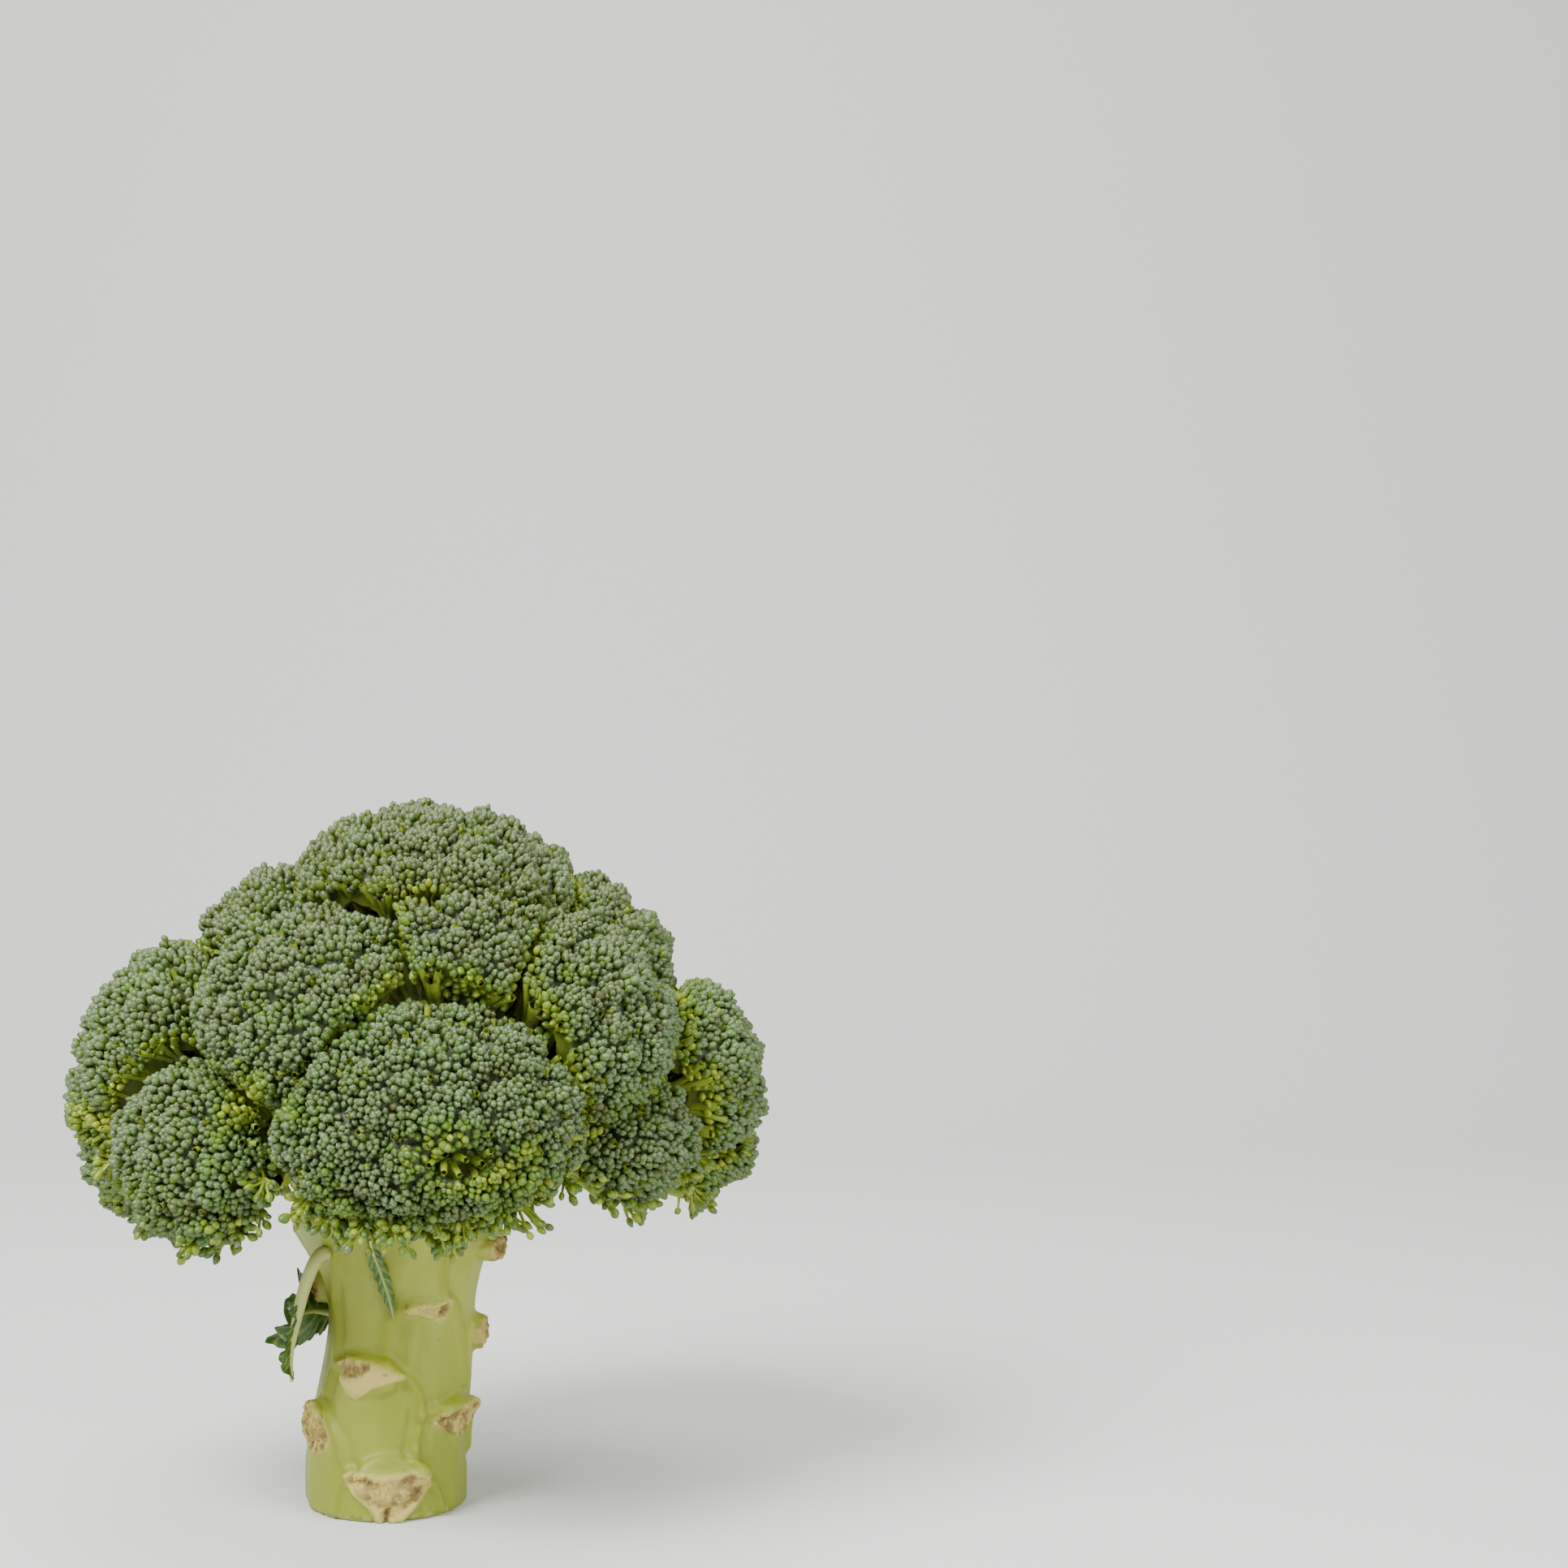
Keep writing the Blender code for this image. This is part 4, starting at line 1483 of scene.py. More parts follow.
@dataclass
class Crown:
    """All the florets."""

    hollows: tuple[Hollow, ...] = (
        Hollow(-74.5, 10.5, 8.6, 4.4, 6.5),
        Hollow(-118.5, 18.0, 3.6, 6.0, 6.0),
        Hollow(-163.0, 10.0, 3.5, 4.0, 4.0),
    )

    tassels: dict[str, tuple[Tassel, ...]] = field(default_factory=lambda: {
        "floret_front": (
            Tassel(-108.0, 2.5, 50.0, 14, 2.6, 5.2, 0.6, 0.4),
            Tassel(-101.0, 0.5, 51.5, 18, 2.6, 5.6, 0.6, 0.5),
            Tassel(-94.0, -0.5, 53.5, 19, 2.6, 6.0, 0.6, 0.5),
            Tassel(-87.0, -1.0, 54.5, 17, 2.6, 6.0, 0.6, 0.5),
            Tassel(-80.0, 0.0, 54.5, 15, 2.6, 5.6, 0.6, 0.5),
            Tassel(-73.0, 1.0, 54.0, 13, 2.6, 5.2, 0.6, 0.4),
            Tassel(-65.0, 2.0, 53.0, 11, 2.5, 5.0, 0.5, 0.4),
            Tassel(-60.5, 1.5, 53.0, 6, 6.0, 9.0, 0.3, 0.5),
        ),
        "floret_lower_left": (
            Tassel(-134.0, -5.5, 57.0, 12, 2.2, 3.8, 0.6, 0.2),
            Tassel(-127.0, -3.5, 55.5, 12, 2.2, 4.0, 0.6, 0.2),
        ),
    })

    def build(self, nodes: dict[str, bpy.types.Object]) -> None:
        """Make every floret and tie it to the frame.

        Args:
            nodes: the frame's solids by name.
        """
        materials = [BudSkin().material(), BranchSkin().material()]
        names = sorted(name for name in nodes if name.startswith("floret_"))
        tree = self.joined_tree([nodes[name] for name in names])
        for name in names:
            piece = Floret(name, tree, self.hollows, self.tassels.get(name, ())).build(materials)
            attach(piece, "root")
            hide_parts(name)

    @staticmethod
    def joined_tree(solids: list[bpy.types.Object]) -> BVHTree:
        """One search tree of several solids.

        Args:
            solids: mesh objects at the origin.

        Returns:
            The tree, in millimetres.
        """
        corners, triangles, start = [], [], 0
        for solid in solids:
            points, faces = node_mesh(solid)
            corners.extend(points.tolist())
            triangles.extend((faces + start).tolist())
            start += len(points)
        return BVHTree.FromPolygons(corners, triangles)


# ---------------------------------------------------------------------------------------------
# Stalk
# ---------------------------------------------------------------------------------------------

class ScarKind(Enum):
    """How the base of a lost leaf looks."""

    HEALED = "healed"       # a smooth pad
    TORN = "torn"           # open fibrous tissue with a pad round it
    SLIT = "slit"           # a narrow lens that goes in
    STUB = "stub"           # a broken base that stands out


@dataclass(frozen=True)
class Spot:
    """A mark inside a leaf base: brown, hollow or both."""

    azimuth: float
    height: float
    half_width: float
    half_height: float
    depth: float
    brown: float


@dataclass(frozen=True)
class Scar:
    """The base of one lost leaf: its outline in azimuths and heights, and its marks."""

    kind: ScarKind
    outline: tuple[tuple[float, float], ...]
    spots: tuple[Spot, ...] = ()
    lift: float = 0.5
    rim: float = 1.2


def oval(azimuth: float, height: float, half_width: float, half_height: float,
         radius: float = 17.0) -> tuple[tuple[float, float], ...]:
    """An outline a little flatter on top than an ellipse.

    Args:
        azimuth: its middle.
        height: its middle.
        half_width: along the stalk's side, in millimetres.
        half_height: up and down.
        radius: the stalk's radius there.

    Returns:
        Azimuths and heights.
    """
    turns = np.arange(12) * math.pi / 6
    across = np.degrees(half_width / radius) * np.cos(turns)
    upward = half_height * np.where(np.sin(turns) > 0, 0.8, 1.0) * np.sin(turns)
    return tuple((azimuth + float(x), height + float(y)) for x, y in zip(across, upward))


def stalk_lean(height: np.ndarray | float) -> np.ndarray | float:
    """How far the stalk's middle leans to +X at a height."""
    return 3.5 * smooth(height, 6.0, 43.0) - 1.3 * smooth(height, 43.0, 64.0)


@dataclass(frozen=True)
class Ridge:
    """A low rounded ridge on the stalk, through points of azimuth and height."""

    points: tuple[tuple[float, float], ...]
    lift: float = 0.45
    width: float = 1.0


@dataclass(frozen=True)
class StalkPlaces:
    """Where mesh corners lie on the stalk."""

    azimuth: np.ndarray
    height: np.ndarray
    reach: np.ndarray       # distance from the stalk's middle


@dataclass
class Stalk:
    """The stalk with its branches, its leaf bases and its cut end."""

    VALUES = ("pad", "ridge", "cream", "torn", "dark", "cut")

    scars: tuple[Scar, ...] = (
        Scar(ScarKind.TORN, ((-113, 10.4), (-104, 11.6), (-84, 11.0), (-66, 11.6), (-54, 10.2), (-52, 7.0),
                             (-60, 3.6), (-70, 0.6), (-80, -0.8), (-90, -0.8), (-94, 2.2), (-103, 5.0),
                             (-113, 8.0)),
             (Spot(-97, 9.3, 2.2, 1.4, 0.9, 0.15), Spot(-69, 9.6, 2.6, 1.4, 0.3, 0.8),
              Spot(-63, 6.3, 1.8, 2.4, 0.3, 0.7), Spot(-84, 1.2, 0.8, 2.6, 0.9, 1.0)), 0.75, 1.7),
        Scar(ScarKind.HEALED, ((-132, 33.6), (-120, 34.6), (-104, 34.4), (-90, 33.0), (-80, 31.4),
                               (-82, 30.2), (-100, 28.6), (-112, 25.6), (-121, 26.8), (-128, 30.6)),
             (Spot(-118, 32.2, 4.4, 1.8, 0.9, 0.75), Spot(-107, 33.0, 1.5, 1.0, 0.5, 1.0),
              Spot(-92, 32.0, 0.7, 0.5, 0.1, 0.1)), 0.8, 1.0),
        Scar(ScarKind.STUB, ((-55, 20.4), (-46, 22.6), (-34, 23.6), (-18, 24.4), (-9, 23.4), (-8, 19.0),
                             (-16, 17.0), (-28, 15.9), (-34, 17.8), (-45, 18.6)),
             (Spot(-40, 21.3, 2.0, 1.0, 0.5, 1.0), Spot(-24, 19.0, 1.2, 2.2, 0.4, 0.4)), 0.8, 1.3),
        Scar(ScarKind.STUB, ((-164, 22.2), (-154, 23.8), (-144, 21.4), (-131, 18.4), (-131, 14.6),
                             (-145, 12.4), (-157, 13.6), (-166, 17.6)),
             (Spot(-146, 17.4, 2.2, 2.0, 0.5, 0.55), Spot(-152, 14.8, 1.2, 1.6, 0.6, 0.9)), 0.8, 1.0),
        Scar(ScarKind.SLIT, ((-83, 45.4), (-72, 46.6), (-60, 46.4), (-47, 47.0), (-43, 45.4), (-48, 42.8),
                             (-56, 42.2), (-66, 43.8), (-76, 44.2)),
             (Spot(-49, 44.6, 1.7, 1.4, 1.0, 0.8),), 0.6, 0.9),
        Scar(ScarKind.STUB, oval(4, 37.5, 4.5, 4.2), (Spot(0, 37.0, 1.6, 2.0, 0.5, 0.6),)),
        Scar(ScarKind.STUB, oval(-14, 57.0, 5.5, 3.0, 20.0), (Spot(-18, 57.0, 2.2, 0.9, 0.5, 0.6),)),
        Scar(ScarKind.STUB, oval(174, 47.5, 4.5, 3.5), (Spot(176, 47.0, 1.6, 1.2, 0.5, 0.5),)),
        Scar(ScarKind.TORN, oval(118, 12.0, 7.5, 5.0), (Spot(112, 12.6, 2.6, 1.6, 0.5, 0.7),
                                                        Spot(124, 10.6, 1.6, 2.2, 0.4, 0.8)), 0.6, 1.5),
        Scar(ScarKind.HEALED, oval(62, 27.0, 6.6, 4.2), (Spot(66, 28.0, 2.6, 1.4, 0.9, 0.8),), 0.7),
        Scar(ScarKind.STUB, oval(138, 36.0, 6.0, 4.0), (Spot(134, 36.6, 2.2, 1.6, 0.5, 0.7),)),
        Scar(ScarKind.SLIT, oval(88, 48.5, 5.0, 2.2), (Spot(92, 48.2, 1.8, 0.9, 0.9, 0.8),)),
    )
    ridges: tuple[Ridge, ...] = (
        Ridge(((-138, 32.5), (-122, 34.6), (-104, 34.4), (-90, 33.3), (-78, 31.0), (-68, 28.0), (-63, 24.5),
               (-62, 22.2), (-64, 18.0), (-65, 13.0), (-60, 11.0))),
        Ridge(((-62, 22.2), (-50, 23.2), (-36, 23.8), (-15, 23.5), (0, 20.0), (4, 12.0))),
        Ridge(((-64, 15.0), (-56, 10.3), (-46, 6.0), (-41, 1.5)), 0.3),
        Ridge(((-160, 23.0), (-140, 21.5), (-130, 19.2), (-121, 16.1), (-116, 12.5), (-111, 10.5)), 0.4),
        Ridge(((-109, 10.6), (-115, 9.5), (-120, 7.0), (-124, 1.5)), 0.35),
        Ridge(((-60, 10.5), (-50, 7.5), (-43, 3.5), (-41, 1.0)), 0.3),
        Ridge(((-122, 58.0), (-138, 51.0), (-147, 45.8), (-144, 40.0), (-144, 34.0), (-148, 26.0)), 0.4),
        Ridge(((-49, 64.0), (-48, 61.0), (-52, 58.0), (-51, 52.0), (-49, 47.9), (-43, 46.8), (-33, 43.8),
               (-28, 38.6), (-24, 33.5), (-18, 27.5)), 0.4),
        Ridge(((-47, 61.0), (-36, 62.5), (-20, 61.5)), 0.4),
        Ridge(((-81, 45.6), (-89, 44.8), (-94, 42.5), (-95, 38.7), (-94, 34.4)), 0.25, 1.3),
        Ridge(((-95, 61.0), (-91, 56.0), (-90, 50.0)), 0.2, 1.2),
        Ridge(((150, 40.5), (138, 41.5), (126, 40.0), (120, 33.0), (121, 24.0)), 0.4),
        Ridge(((50, 32.0), (62, 33.0), (76, 31.0), (84, 24.0), (88, 14.0)), 0.45),
        Ridge(((104, 17.5), (118, 18.5), (134, 16.0), (142, 8.0)), 0.4),
        Ridge(((20, 60.0), (24, 50.0), (22, 40.0), (30, 30.0), (28, 14.0)), 0.3, 1.3),
        Ridge(((88, 60.0), (96, 52.0), (104, 44.0), (100, 34.0)), 0.3, 1.3),
        Ridge(((-172, 60.0), (178, 50.0), (172, 42.0), (168, 28.0), (166, 12.0)), 0.35, 1.2),
    )
    voxel: float = 0.62

    @staticmethod
    def around(corners: np.ndarray) -> StalkPlaces:
        """Where corners lie on the stalk.

        Args:
            corners: positions.

        Returns:
            Their places.
        """
        x, y, z = corners[:, 0] - stalk_lean(corners[:, 2]), corners[:, 1], corners[:, 2]
        return StalkPlaces(np.degrees(np.arctan2(y, x)), z, np.hypot(x, y))

    @staticmethod
    def turned(angles: np.ndarray, middle: float) -> np.ndarray:
        """Angles counted from a middle one, from -180 to 180."""
        return (angles - middle + 180.0) % 360.0 - 180.0

    def ridge_gap(self, ridge: Ridge, at: StalkPlaces) -> np.ndarray:
        """How far corners lie from a ridge's crest.

        Args:
            ridge: the ridge.
            at: the corners' places.

        Returns:
            Distances in millimetres.
        """
        best = np.full(len(at.azimuth), 99.0)
        level = np.clip(at.reach, 14.0, 24.0)
        for (turn_a, rise_a), (turn_b, rise_b) in zip(ridge.points, ridge.points[1:]):
            across = np.radians(self.turned(at.azimuth, turn_a)) * level
            upward = at.height - rise_a
            run = np.radians((turn_b - turn_a + 180.0) % 360.0 - 180.0) * level
            climb = rise_b - rise_a
            share = np.clip((across * run + upward * climb) / (run ** 2 + climb ** 2 + 1e-9), 0.0, 1.0)
            best = np.minimum(best, np.hypot(across - share * run, upward - share * climb))
        return best

    def build(self, node: bpy.types.Object) -> bpy.types.Object:
        """Make the stalk.

        Args:
            node: the stalk's solid.

        Returns:
            The stalk's piece.
        """
        corners, triangles = remeshed(node, self.voxel, 6)
        corners = self.eased_shoulder(corners, triangles)
        at = self.around(corners)
        values = {name: np.zeros(len(corners)) for name in self.VALUES}
        stem = (1 - smooth(at.height, 60.0, 66.0)) * (at.reach < 30.0)
        side = stem * smooth(at.height, 0.3, 1.6)
        lift = 0.35 * roughness_at(corners * (1, 1, 0.45), 11.0, 1.0) * side
        lift += self.dress_ridges(at, side, values)
        fuzz = roughness_at(corners, 0.9, 2.0)
        for scar in self.scars:
            lift += self.dress_scar(scar, at, fuzz, values) * stem
        lift += self.dress_cut(corners, at, values)
        corners = corners + corner_normals(corners, triangles) * lift[:, None]
        corners[:, 2] = np.maximum(corners[:, 2], 0.0)
        pile = MeshPile(self.VALUES)
        pile.add(corners, triangles, np.stack(list(values.values()), axis=1), self.unrolled(at))
        return pile.build("stalk_skin", [StalkSkin().material()])

    def dress_ridges(self, at: StalkPlaces, side: np.ndarray, values: dict[str, np.ndarray]) -> np.ndarray:
        """Shape and colour the ridges.

        Args:
            at: the corners' places.
            side: share of the full height that a ridge has at each corner.
            values: the surface values, which are changed.

        Returns:
            How far each corner is lifted.
        """
        lift = np.zeros(len(side))
        for ridge in self.ridges:
            gap = self.ridge_gap(ridge, at)
            crest = np.exp(-(gap / ridge.width) ** 2) * side
            groove = np.exp(-((gap - 2.1 * ridge.width) / ridge.width) ** 2) * side
            lift += ridge.lift * (1.9 * crest - 0.7 * groove)
            values["ridge"] = np.maximum(values["ridge"], crest * 0.75)
        return lift

    @staticmethod
    def dress_cut(corners: np.ndarray, at: StalkPlaces, values: dict[str, np.ndarray]) -> np.ndarray:
        """Shape and colour the cut end and its ragged rim.

        Args:
            corners: positions.
            at: the corners' places.
            values: the surface values, which are changed.

        Returns:
            How far each corner is lifted.
        """
        flat = 1 - smooth(at.height, 0.15, 0.5)
        ragged = roughness_at(corners * (1, 1, 0.2), 1.4, 6.0)
        rim = np.exp(-((at.height - 0.6) / 0.8) ** 2) * (at.reach > 14.0)
        values["cut"] = np.maximum(values["cut"], np.clip(flat + rim * 0.6 * (ragged > 0), 0, 1))
        return rim * (0.35 * ragged - 0.1)

    @staticmethod
    def eased_shoulder(corners: np.ndarray, triangles: np.ndarray) -> np.ndarray:
        """Round off the step where the stem turns into branches.

        Args:
            corners: corner positions.
            triangles: triangles of corner numbers.

        Returns:
            New corner positions.
        """
        edges = np.concatenate((triangles[:, :2], triangles[:, 1:], triangles[:, ::2]))
        ends = np.concatenate((edges, edges[:, ::-1]))
        count = np.bincount(ends[:, 0], minlength=len(corners))[:, None]
        weight = 0.6 * smooth(corners[:, 2], 57.0, 63.0)[:, None]
        for _ in range(60):
            sums = np.stack([np.bincount(ends[:, 0], corners[ends[:, 1], axis], len(corners))
                             for axis in range(3)], axis=1)
            corners = corners + weight * (sums / count - corners)
        return corners

    @staticmethod
    def unrolled(at: StalkPlaces) -> np.ndarray:
        """A plain first map, which the finish doesn't read."""
        upward = np.clip(at.height / 110.0 + at.reach / 400.0, 0, 1)
        return np.stack(((at.azimuth + 180.0) / 360.0, upward), axis=1)

    @staticmethod
    def outline_distance(across: np.ndarray, height: np.ndarray, corners: np.ndarray) -> np.ndarray:
        """Distance to an outline, negative inside it.

        Args:
            across: places along the stalk's side.
            height: heights.
            corners: the outline's corners, as places and heights.

        Returns:
            One distance for each place.
        """
        best = np.full(len(across), 99.0)
        inside = np.zeros(len(across), dtype=bool)
        for (ax, ay), (bx, by) in zip(corners, np.roll(corners, -1, axis=0)):
            run, climb = bx - ax, by - ay
            share = ((across - ax) * run + (height - ay) * climb) / (run ** 2 + climb ** 2)
            share = np.clip(share, 0.0, 1.0)
            best = np.minimum(best, np.hypot(across - ax - share * run, height - ay - share * climb))
            if climb:
                inside ^= ((ay > height) != (by > height)) & (across < ax + run * (height - ay) / climb)
        return np.where(inside, -best, best)

    def dress_scar(self, scar: Scar, at: StalkPlaces, fuzz: np.ndarray,
                   values: dict[str, np.ndarray]) -> np.ndarray:
        """Shape and colour one leaf base.

        Args:
            scar: the leaf base.
            at: the corners' places.
            fuzz: fine random values.
            values: the surface values, which are changed.

        Returns:
            How far each corner is lifted.
        """
        points = np.array(scar.outline)
        middle = float(points[:, 0].mean())
        height, level = at.height, np.clip(at.reach, 15.0, 24.0)
        across = np.radians(self.turned(at.azimuth, middle)) * level
        corners = np.stack((np.radians(points[:, 0] - middle) * 17.5, points[:, 1]), axis=1)
        away = self.outline_distance(across, height, corners) + 0.28 * fuzz
        inside = 1 - smooth(away, -0.9, 0.1)
        core = 1 - smooth(away, -scar.rim - 0.5, -scar.rim + 0.3)
        ring = np.exp(-((away + 0.5 * scar.rim) / (0.5 * scar.rim)) ** 2)
        step = scar.lift * (1 - smooth(away, -0.7, 0.5))
        values["pad"] = np.maximum(values["pad"], 0.6 * (1 - smooth(away, 0.0, 1.6)))
        values["cream"] = np.maximum(values["cream"], inside * 0.95)
        dip = np.zeros(len(height))
        for spot in scar.spots:
            aside = np.radians(self.turned(at.azimuth, spot.azimuth)) * level / spot.half_width
            upward = (height - spot.height) / spot.half_height
            share = 1 - smooth(np.hypot(aside, upward) + 0.5 * fuzz, 0.45, 1.0)
            dip += spot.depth * share
            values["dark"] = np.maximum(values["dark"], spot.brown * share * (0.75 + 0.5 * fuzz))
            values["torn"] = np.maximum(values["torn"], 0.8 * share)
        if scar.kind is ScarKind.HEALED:
            return step - dip
        if scar.kind is ScarKind.SLIT:
            values["torn"] = np.maximum(values["torn"], 0.55 * core)
            return 0.7 * step + 0.25 * ring - 0.9 * core - dip
        if scar.kind is ScarKind.TORN:
            values["torn"] = np.maximum(values["torn"], 0.6 * core)
            return step + 0.25 * ring - core * (0.5 - 0.4 * fuzz) - dip
        values["torn"] = np.maximum(values["torn"], 0.75 * inside)
        return 0.6 * step + ring * (0.35 + 0.7 * fuzz) - core * (0.2 - 0.7 * fuzz) - dip


# ---------------------------------------------------------------------------------------------
# Leaves
# ---------------------------------------------------------------------------------------------

def on_stalk(azimuth: float, height: float, lift: float) -> np.ndarray:
    """Find a point beside the stalk.

    Args:
        azimuth: the side it lies on.
        height: its height.
        lift: how far it stands off the stalk's skin.

    Returns:
        The point.
    """
    heights, radii = zip(*STALK_STATIONS)
    reach = float(np.interp(height, heights, radii)) + lift
    turn = math.radians(azimuth)
    return np.array((float(stalk_lean(height)) + reach * math.cos(turn), reach * math.sin(turn), height))


@dataclass
class Leaf:
    """A small leaf: a stem that bends, and a jagged, veined blade folded along it."""

    STEM_UNDER_BLADE = 0.55     # share of the line that the stem follows below the blade
    STEM_TIP = 0.35             # the stem's radius there narrows to this share

    node: str
    line: tuple[tuple[float, float, float], ...]    # azimuth, height and distance off the stalk
    stem_radius: tuple[float, float]
    blade_start: float                              # share of the line where the blade begins
    half_width: float
    fold: float                                     # rise of the blade's halves, in degrees
    curl: float                                     # turn of the blade about its rib, in degrees
    teeth: float = 5.0
    torn: float = 0.35                              # depth of the jags
    ribbed: float = 0.55                            # width of the midrib
    thickness: float = 0.34
    steps: int = 64
    rows: int = 72
    across: int = 18                                # faces on each side of the rib

    def path(self) -> np.ndarray:
        """Points along the leaf's rib, evenly eased through the given ones.

        Returns:
            One point in each row.
        """
        knots = np.array([on_stalk(*item) for item in self.line])
        places = np.linspace(0.0, len(knots) - 1.0, self.steps)
        padded = np.concatenate((2 * knots[:1] - knots[1:2], knots, 2 * knots[-1:] - knots[-2:-1]))
        points = []
        for place in places:
            first = min(int(place), len(knots) - 2)
            share = place - first
            p0, p1, p2, p3 = padded[first:first + 4]
            points.append(0.5 * (2 * p1 + (p2 - p0) * share + (2 * p0 - 5 * p1 + 4 * p2 - p3) * share ** 2
                                 + (3 * p1 - p0 - 3 * p2 + p3) * share ** 3))
        return np.array(points)

    def jagged(self, share: np.ndarray, side: float) -> np.ndarray:
        """Half width along the blade, with teeth and torn bays.

        Args:
            share: 0 at the blade's start to 1 at its tip.
            side: -1 or 1.

        Returns:
            Shares of the full half width.
        """
        body = np.sin(math.pi * np.clip(share, 0, 1) ** 0.8) ** 0.7
        swing = share * self.teeth + (0.0 if side > 0 else 0.4)
        saw = 1.0 - np.abs((swing % 1.0) * 2 - 1) ** 1.4
        fine = 1.0 - np.abs((share * self.teeth * 3.3 + 0.2) % 1.0 * 2 - 1)
        bays = 0.5 + 0.5 * np.sin(share * self.teeth * 2.1 + side * 1.3)
        cuts = self.torn * (1 - saw) + 0.12 * fine + 0.35 * self.torn * bays
        return np.clip(body * (1.0 - cuts), 0.03, 1.0)

    def build(self, material: bpy.types.Material) -> bpy.types.Object:
        """Make the leaf.

        Args:
            material: the leaf's material.

        Returns:
            The leaf's piece.
        """
        pile = MeshPile(("vein", "stem"))
        path = self.path()
        foot = int(self.steps * self.blade_start)
        stem = path[:int(self.steps * min(self.blade_start + self.STEM_UNDER_BLADE, 1.0))]
        radii = np.linspace(*self.stem_radius, len(stem))
        radii[foot:] *= np.linspace(1.0, self.STEM_TIP, len(radii) - foot)
        corners, faces, shares = tube(stem, radii, 12)
        pile.add(corners, faces, np.tile((0.0, 1.0), (len(corners), 1)), shares * (0.3, 1.0))
        self.add_blade(pile, path[foot:])
        return pile.build("leaf_piece_" + self.node.removeprefix("leaf_"), [material])

    def add_blade(self, pile: MeshPile, rib: np.ndarray) -> None:
        """Add the blade round its rib.

        Args:
            pile: the mesh in the making.
            rib: points along the blade's middle.
        """
        share = np.linspace(0.0, 1.0, self.rows)
        spots = np.stack([np.interp(share * (len(rib) - 1), np.arange(len(rib)), rib[:, axis])
                          for axis in range(3)], axis=1)
        along = unit(np.gradient(spots, axis=0))
        outward = unit(spots * (1, 1, 0) - (2.5, 0, 0))
        sideways = unit(np.cross(along, outward))
        outward = np.cross(sideways, along)
        turn = math.radians(self.curl)
        sideways, outward = (sideways * math.cos(turn) + outward * math.sin(turn),
                             outward * math.cos(turn) - sideways * math.sin(turn))
        steps = np.linspace(-1.0, 1.0, 2 * self.across + 1)
        reach = np.where(steps[None, :] < 0, self.jagged(share, -1.0)[:, None],
                         self.jagged(share, 1.0)[:, None]) * self.half_width * steps[None, :]
        lift = np.abs(reach) * math.tan(math.radians(self.fold))
        waves = np.sin(share * 19.0)[:, None] * np.abs(steps) ** 2 * 0.16 * self.half_width
        grid = (spots[:, None, :] + sideways[:, None, :] * reach[..., None]
                + outward[:, None, :] * (lift + waves)[..., None])
        slant = share[:, None] * 9.0 - np.abs(steps)[None, :] * 0.9
        veins = np.exp(-(((slant % 1.0) - 0.5) / 0.11) ** 2) * (np.abs(steps)[None, :] < 0.92)
        midrib = np.exp(-(reach / self.ribbed) ** 2)
        grid = grid + outward[:, None, :] * (0.12 * veins + 0.2 * midrib)[..., None]
        vein = np.maximum(0.5 * veins, midrib).ravel()
        corners = grid.reshape(-1, 3)
        below = (grid - outward[:, None, :] * self.thickness).reshape(-1, 3)
        wide = 2 * self.across + 1
        index = np.arange(self.rows * wide).reshape(self.rows, wide)
        top = np.stack((index[:-1, :-1], index[:-1, 1:], index[1:, 1:], index[1:, :-1]), -1).reshape(-1, 4)
        half = self.rows * wide
        border = np.concatenate((index[0, :], index[1:, -1], index[-1, -2::-1], index[-2:0:-1, 0]))
        onward = np.roll(border, -1)
        rim = np.stack((border, border + half, onward + half, onward), axis=1)
        faces = np.concatenate((top, top[:, ::-1] + half, rim))
        values = np.stack((np.tile(vein, 2), np.zeros(2 * half)), axis=1)
        flat = np.stack(np.meshgrid(share, (steps + 1) / 2, indexing="ij"), -1).reshape(-1, 2)
        places = np.concatenate((flat * (0.33, 0.98) + (0.33, 0.01), flat * (0.33, 0.98) + (0.665, 0.01)))
        pile.add(np.concatenate((corners, below)), faces, values, places)


@dataclass
class Leaves:
    """The three small leaves that are left on the stalk."""

    leaves: tuple[Leaf, ...] = (
        Leaf("leaf_left", ((-130, 57.5, -1.0), (-131, 57.2, 1.6), (-133, 54.5, 5.0), (-138, 49.0, 8.6),
                           (-142, 42.5, 10.2), (-143, 36.0, 10.6), (-142, 30.0, 9.6)),
             (1.6, 1.0), 0.56, 5.6, 30.0, -30.0, 3.6, 0.60, 0.5),
        Leaf("leaf_behind", ((165, 40.0, -1.0), (168, 40.8, 1.4), (179, 41.4, 4.8), (-168, 39.0, 7.4),
                             (-154, 34.6, 8.6)),
             (1.1, 0.7), 0.10, 9.6, 24.0, 18.0, 4.6, 0.30, 0.6),
        Leaf("leaf_front", ((-97, 61.4, 0.2), (-96.5, 59.0, 0.9), (-94.5, 54.0, 1.1), (-92, 48.6, 1.1),
                            (-89, 43.2, 1.2)),
             (0.45, 0.25), 0.08, 2.0, 14.0, 6.0, 7.0, 0.30, 0.26),
    )

    def build(self) -> None:
        """Make the leaves and tie them to the frame."""
        material = LeafSkin().material()
        for leaf in self.leaves:
            piece = leaf.build(material)
            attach(piece, "root")
            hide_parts(leaf.node)
            log.info("%s: %d faces", piece.name, len(piece.data.polygons))


# ---------------------------------------------------------------------------------------------
# Studio
# ---------------------------------------------------------------------------------------------

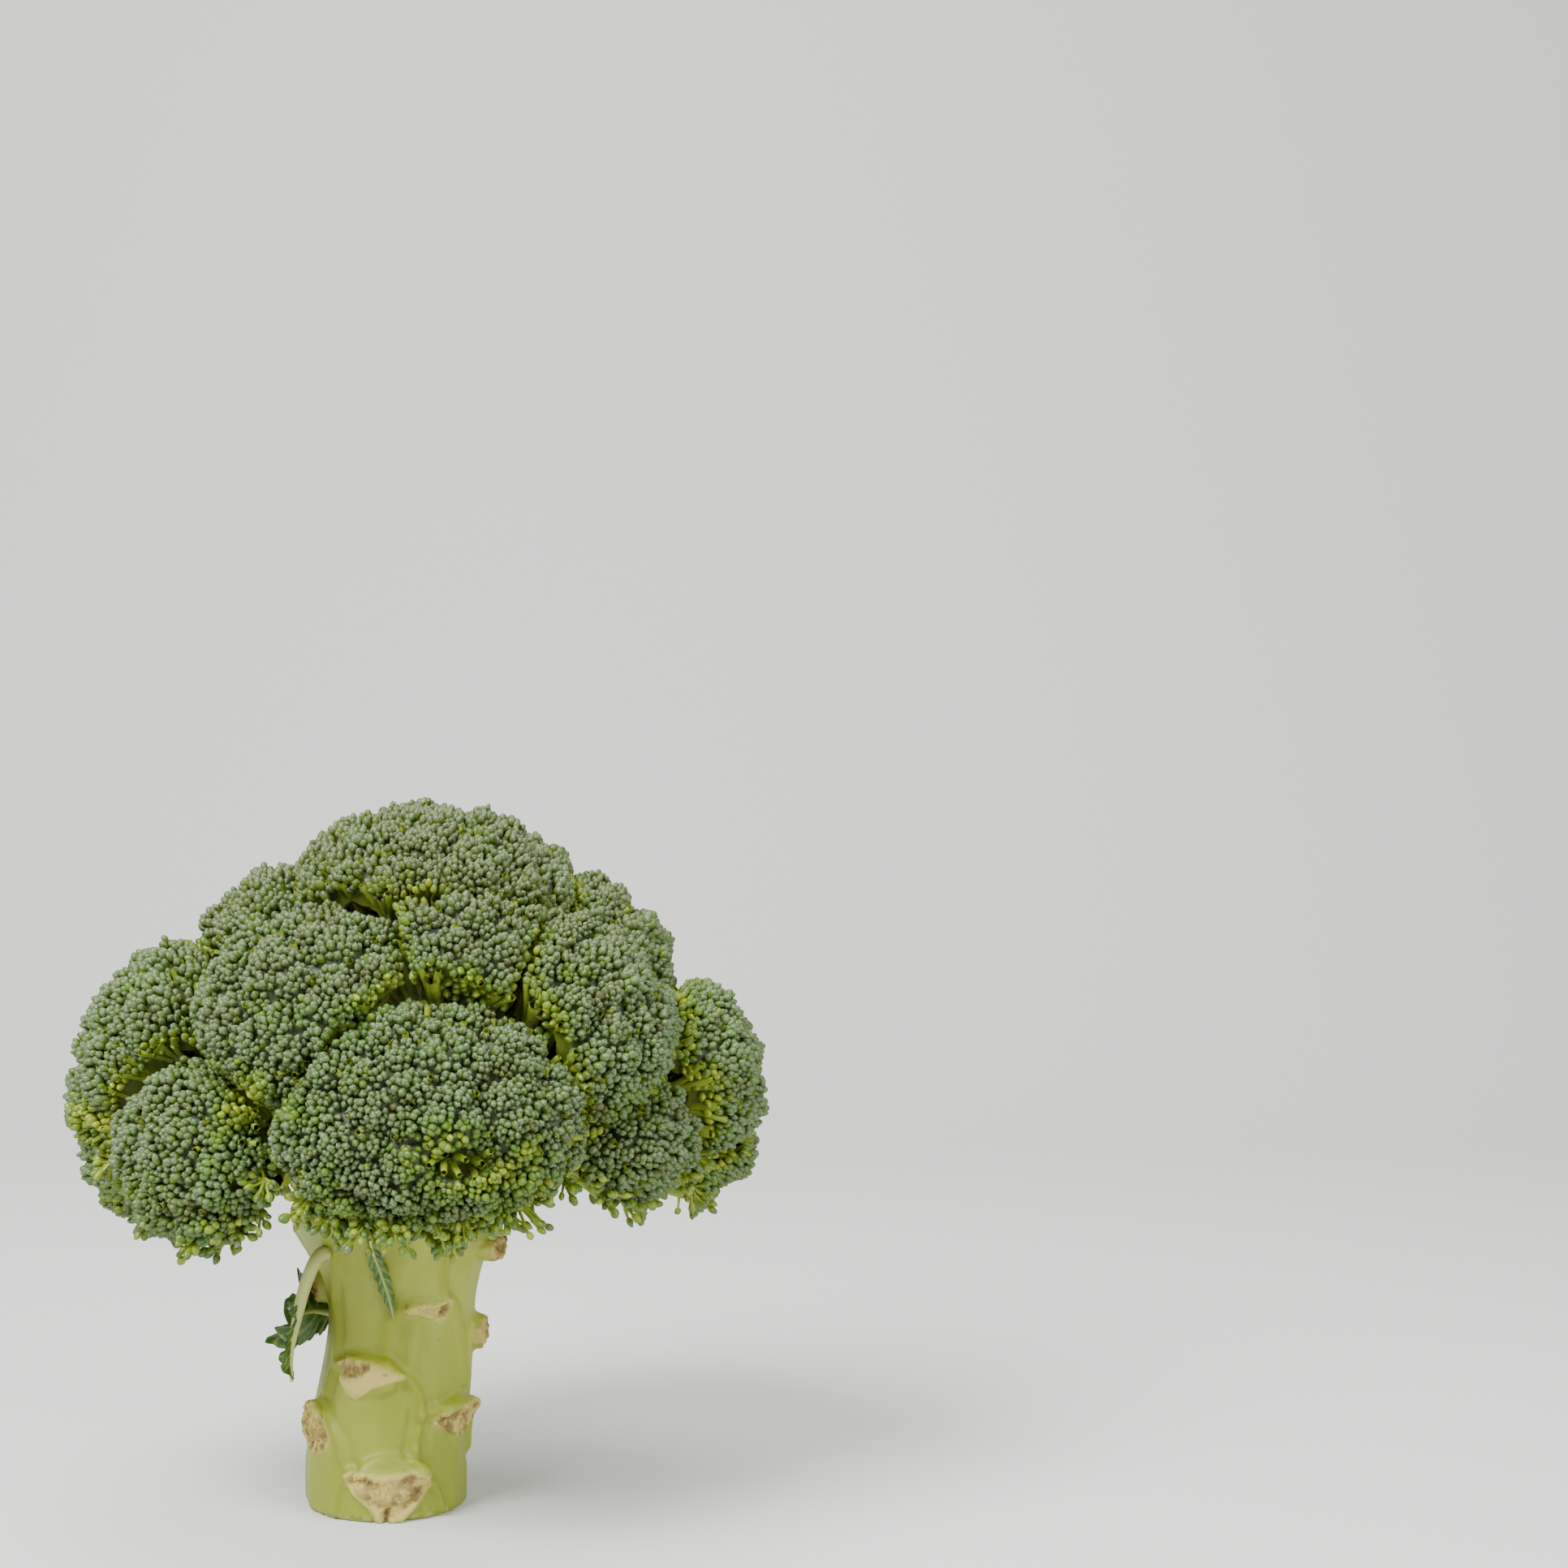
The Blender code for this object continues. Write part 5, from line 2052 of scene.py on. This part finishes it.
@dataclass
class Studio:
    """The floor, the soft lights and the camera."""

    camera_place: tuple[float, float, float] = (86.0, -717.0, 192.0)
    camera_pitch: float = 87.1
    focal_share: float = 4130.0 / 1932.0    # focal length over the frame's width
    sensor: float = 36.0
    floor_size: float = 2600.0
    wall_distance: float = 900.0
    wall_bend: float = 420.0

    def build(self) -> None:
        """Make the whole studio."""
        self.build_sweep()
        self.add_light("key", (-420.0, -520.0, 760.0), (0.0, 0.0, 80.0), 520.0, 23.5)
        self.add_light("fill", (620.0, -560.0, 420.0), (0.0, 0.0, 80.0), 620.0, 8.0)
        self.add_light("overhead", (60.0, 180.0, 900.0), (0.0, 60.0, 60.0), 700.0, 7.0)
        self.add_sky()
        self.add_camera()

    def build_sweep(self) -> None:
        """A floor that curves up into a wall."""
        half = self.floor_size / 2
        turns = np.linspace(0.0, math.pi / 2, 17)
        start = self.wall_distance - self.wall_bend
        curve = [(start + self.wall_bend * math.sin(turn), self.wall_bend * (1 - math.cos(turn)))
                 for turn in turns]
        profile = [(-half, 0.0), *curve, (self.wall_distance, self.floor_size * 0.7)]
        corners = [(side * half * MM, y * MM, z * MM) for y, z in profile for side in (-1, 1)]
        faces = [(2 * step, 2 * step + 1, 2 * step + 3, 2 * step + 2) for step in range(len(profile) - 1)]
        mesh = bpy.data.meshes.new("sweep")
        mesh.from_pydata(corners, [], faces)
        mesh.shade_smooth()
        mesh.materials.append(StudioPaper().material())
        sweep = bpy.data.objects.new("sweep", mesh)
        bpy.context.scene.collection.objects.link(sweep)

    @staticmethod
    def add_light(name: str, place: tuple[float, float, float], aim: tuple[float, float, float],
                  size: float, power: float) -> None:
        """Add a soft square light.

        Args:
            name: its name.
            place: where it stands.
            aim: the point that it faces.
            size: its width.
            power: in watts.
        """
        light = bpy.data.lights.new(name, "AREA")
        light.size = size * MM
        light.energy = power
        lamp = bpy.data.objects.new(name, light)
        lamp.location = Vector(place) * MM
        lamp.rotation_euler = (Vector(aim) - Vector(place)).to_track_quat("-Z", "Y").to_euler()
        bpy.context.scene.collection.objects.link(lamp)

    @staticmethod
    def add_sky() -> None:
        """Even pale light from all round."""
        world = bpy.data.worlds.new("soft_room")
        world.use_nodes = True
        shade = world.node_tree.nodes["Background"]
        shade.inputs["Color"].default_value = srgb("f4f5f2")
        shade.inputs["Strength"].default_value = 0.32
        bpy.context.scene.world = world

    def add_camera(self) -> None:
        """Add the camera, level but for a slight look down."""
        camera = bpy.data.cameras.new("camera")
        camera.sensor_width = self.sensor
        camera.lens = self.focal_share * self.sensor
        camera.clip_start = 10.0 * MM
        camera.clip_end = 20000.0 * MM
        holder = bpy.data.objects.new("camera", camera)
        holder.location = Vector(self.camera_place) * MM
        holder.rotation_euler = (math.radians(self.camera_pitch), 0.0, 0.0)
        bpy.context.scene.collection.objects.link(holder)
        bpy.context.scene.camera = holder


def main() -> None:
    """Build the head of broccoli and its studio."""
    logging.basicConfig(level=logging.INFO, format="%(name)s: %(message)s")
    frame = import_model()
    Studio().build()
    nodes = frame["nodes"]
    Crown().build(nodes)
    stalk = Stalk().build(nodes["stalk"])
    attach(stalk, "root")
    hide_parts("stalk")
    Leaves().build()
    log.info("all pieces are in place")


if __name__ == "__main__":
    main()
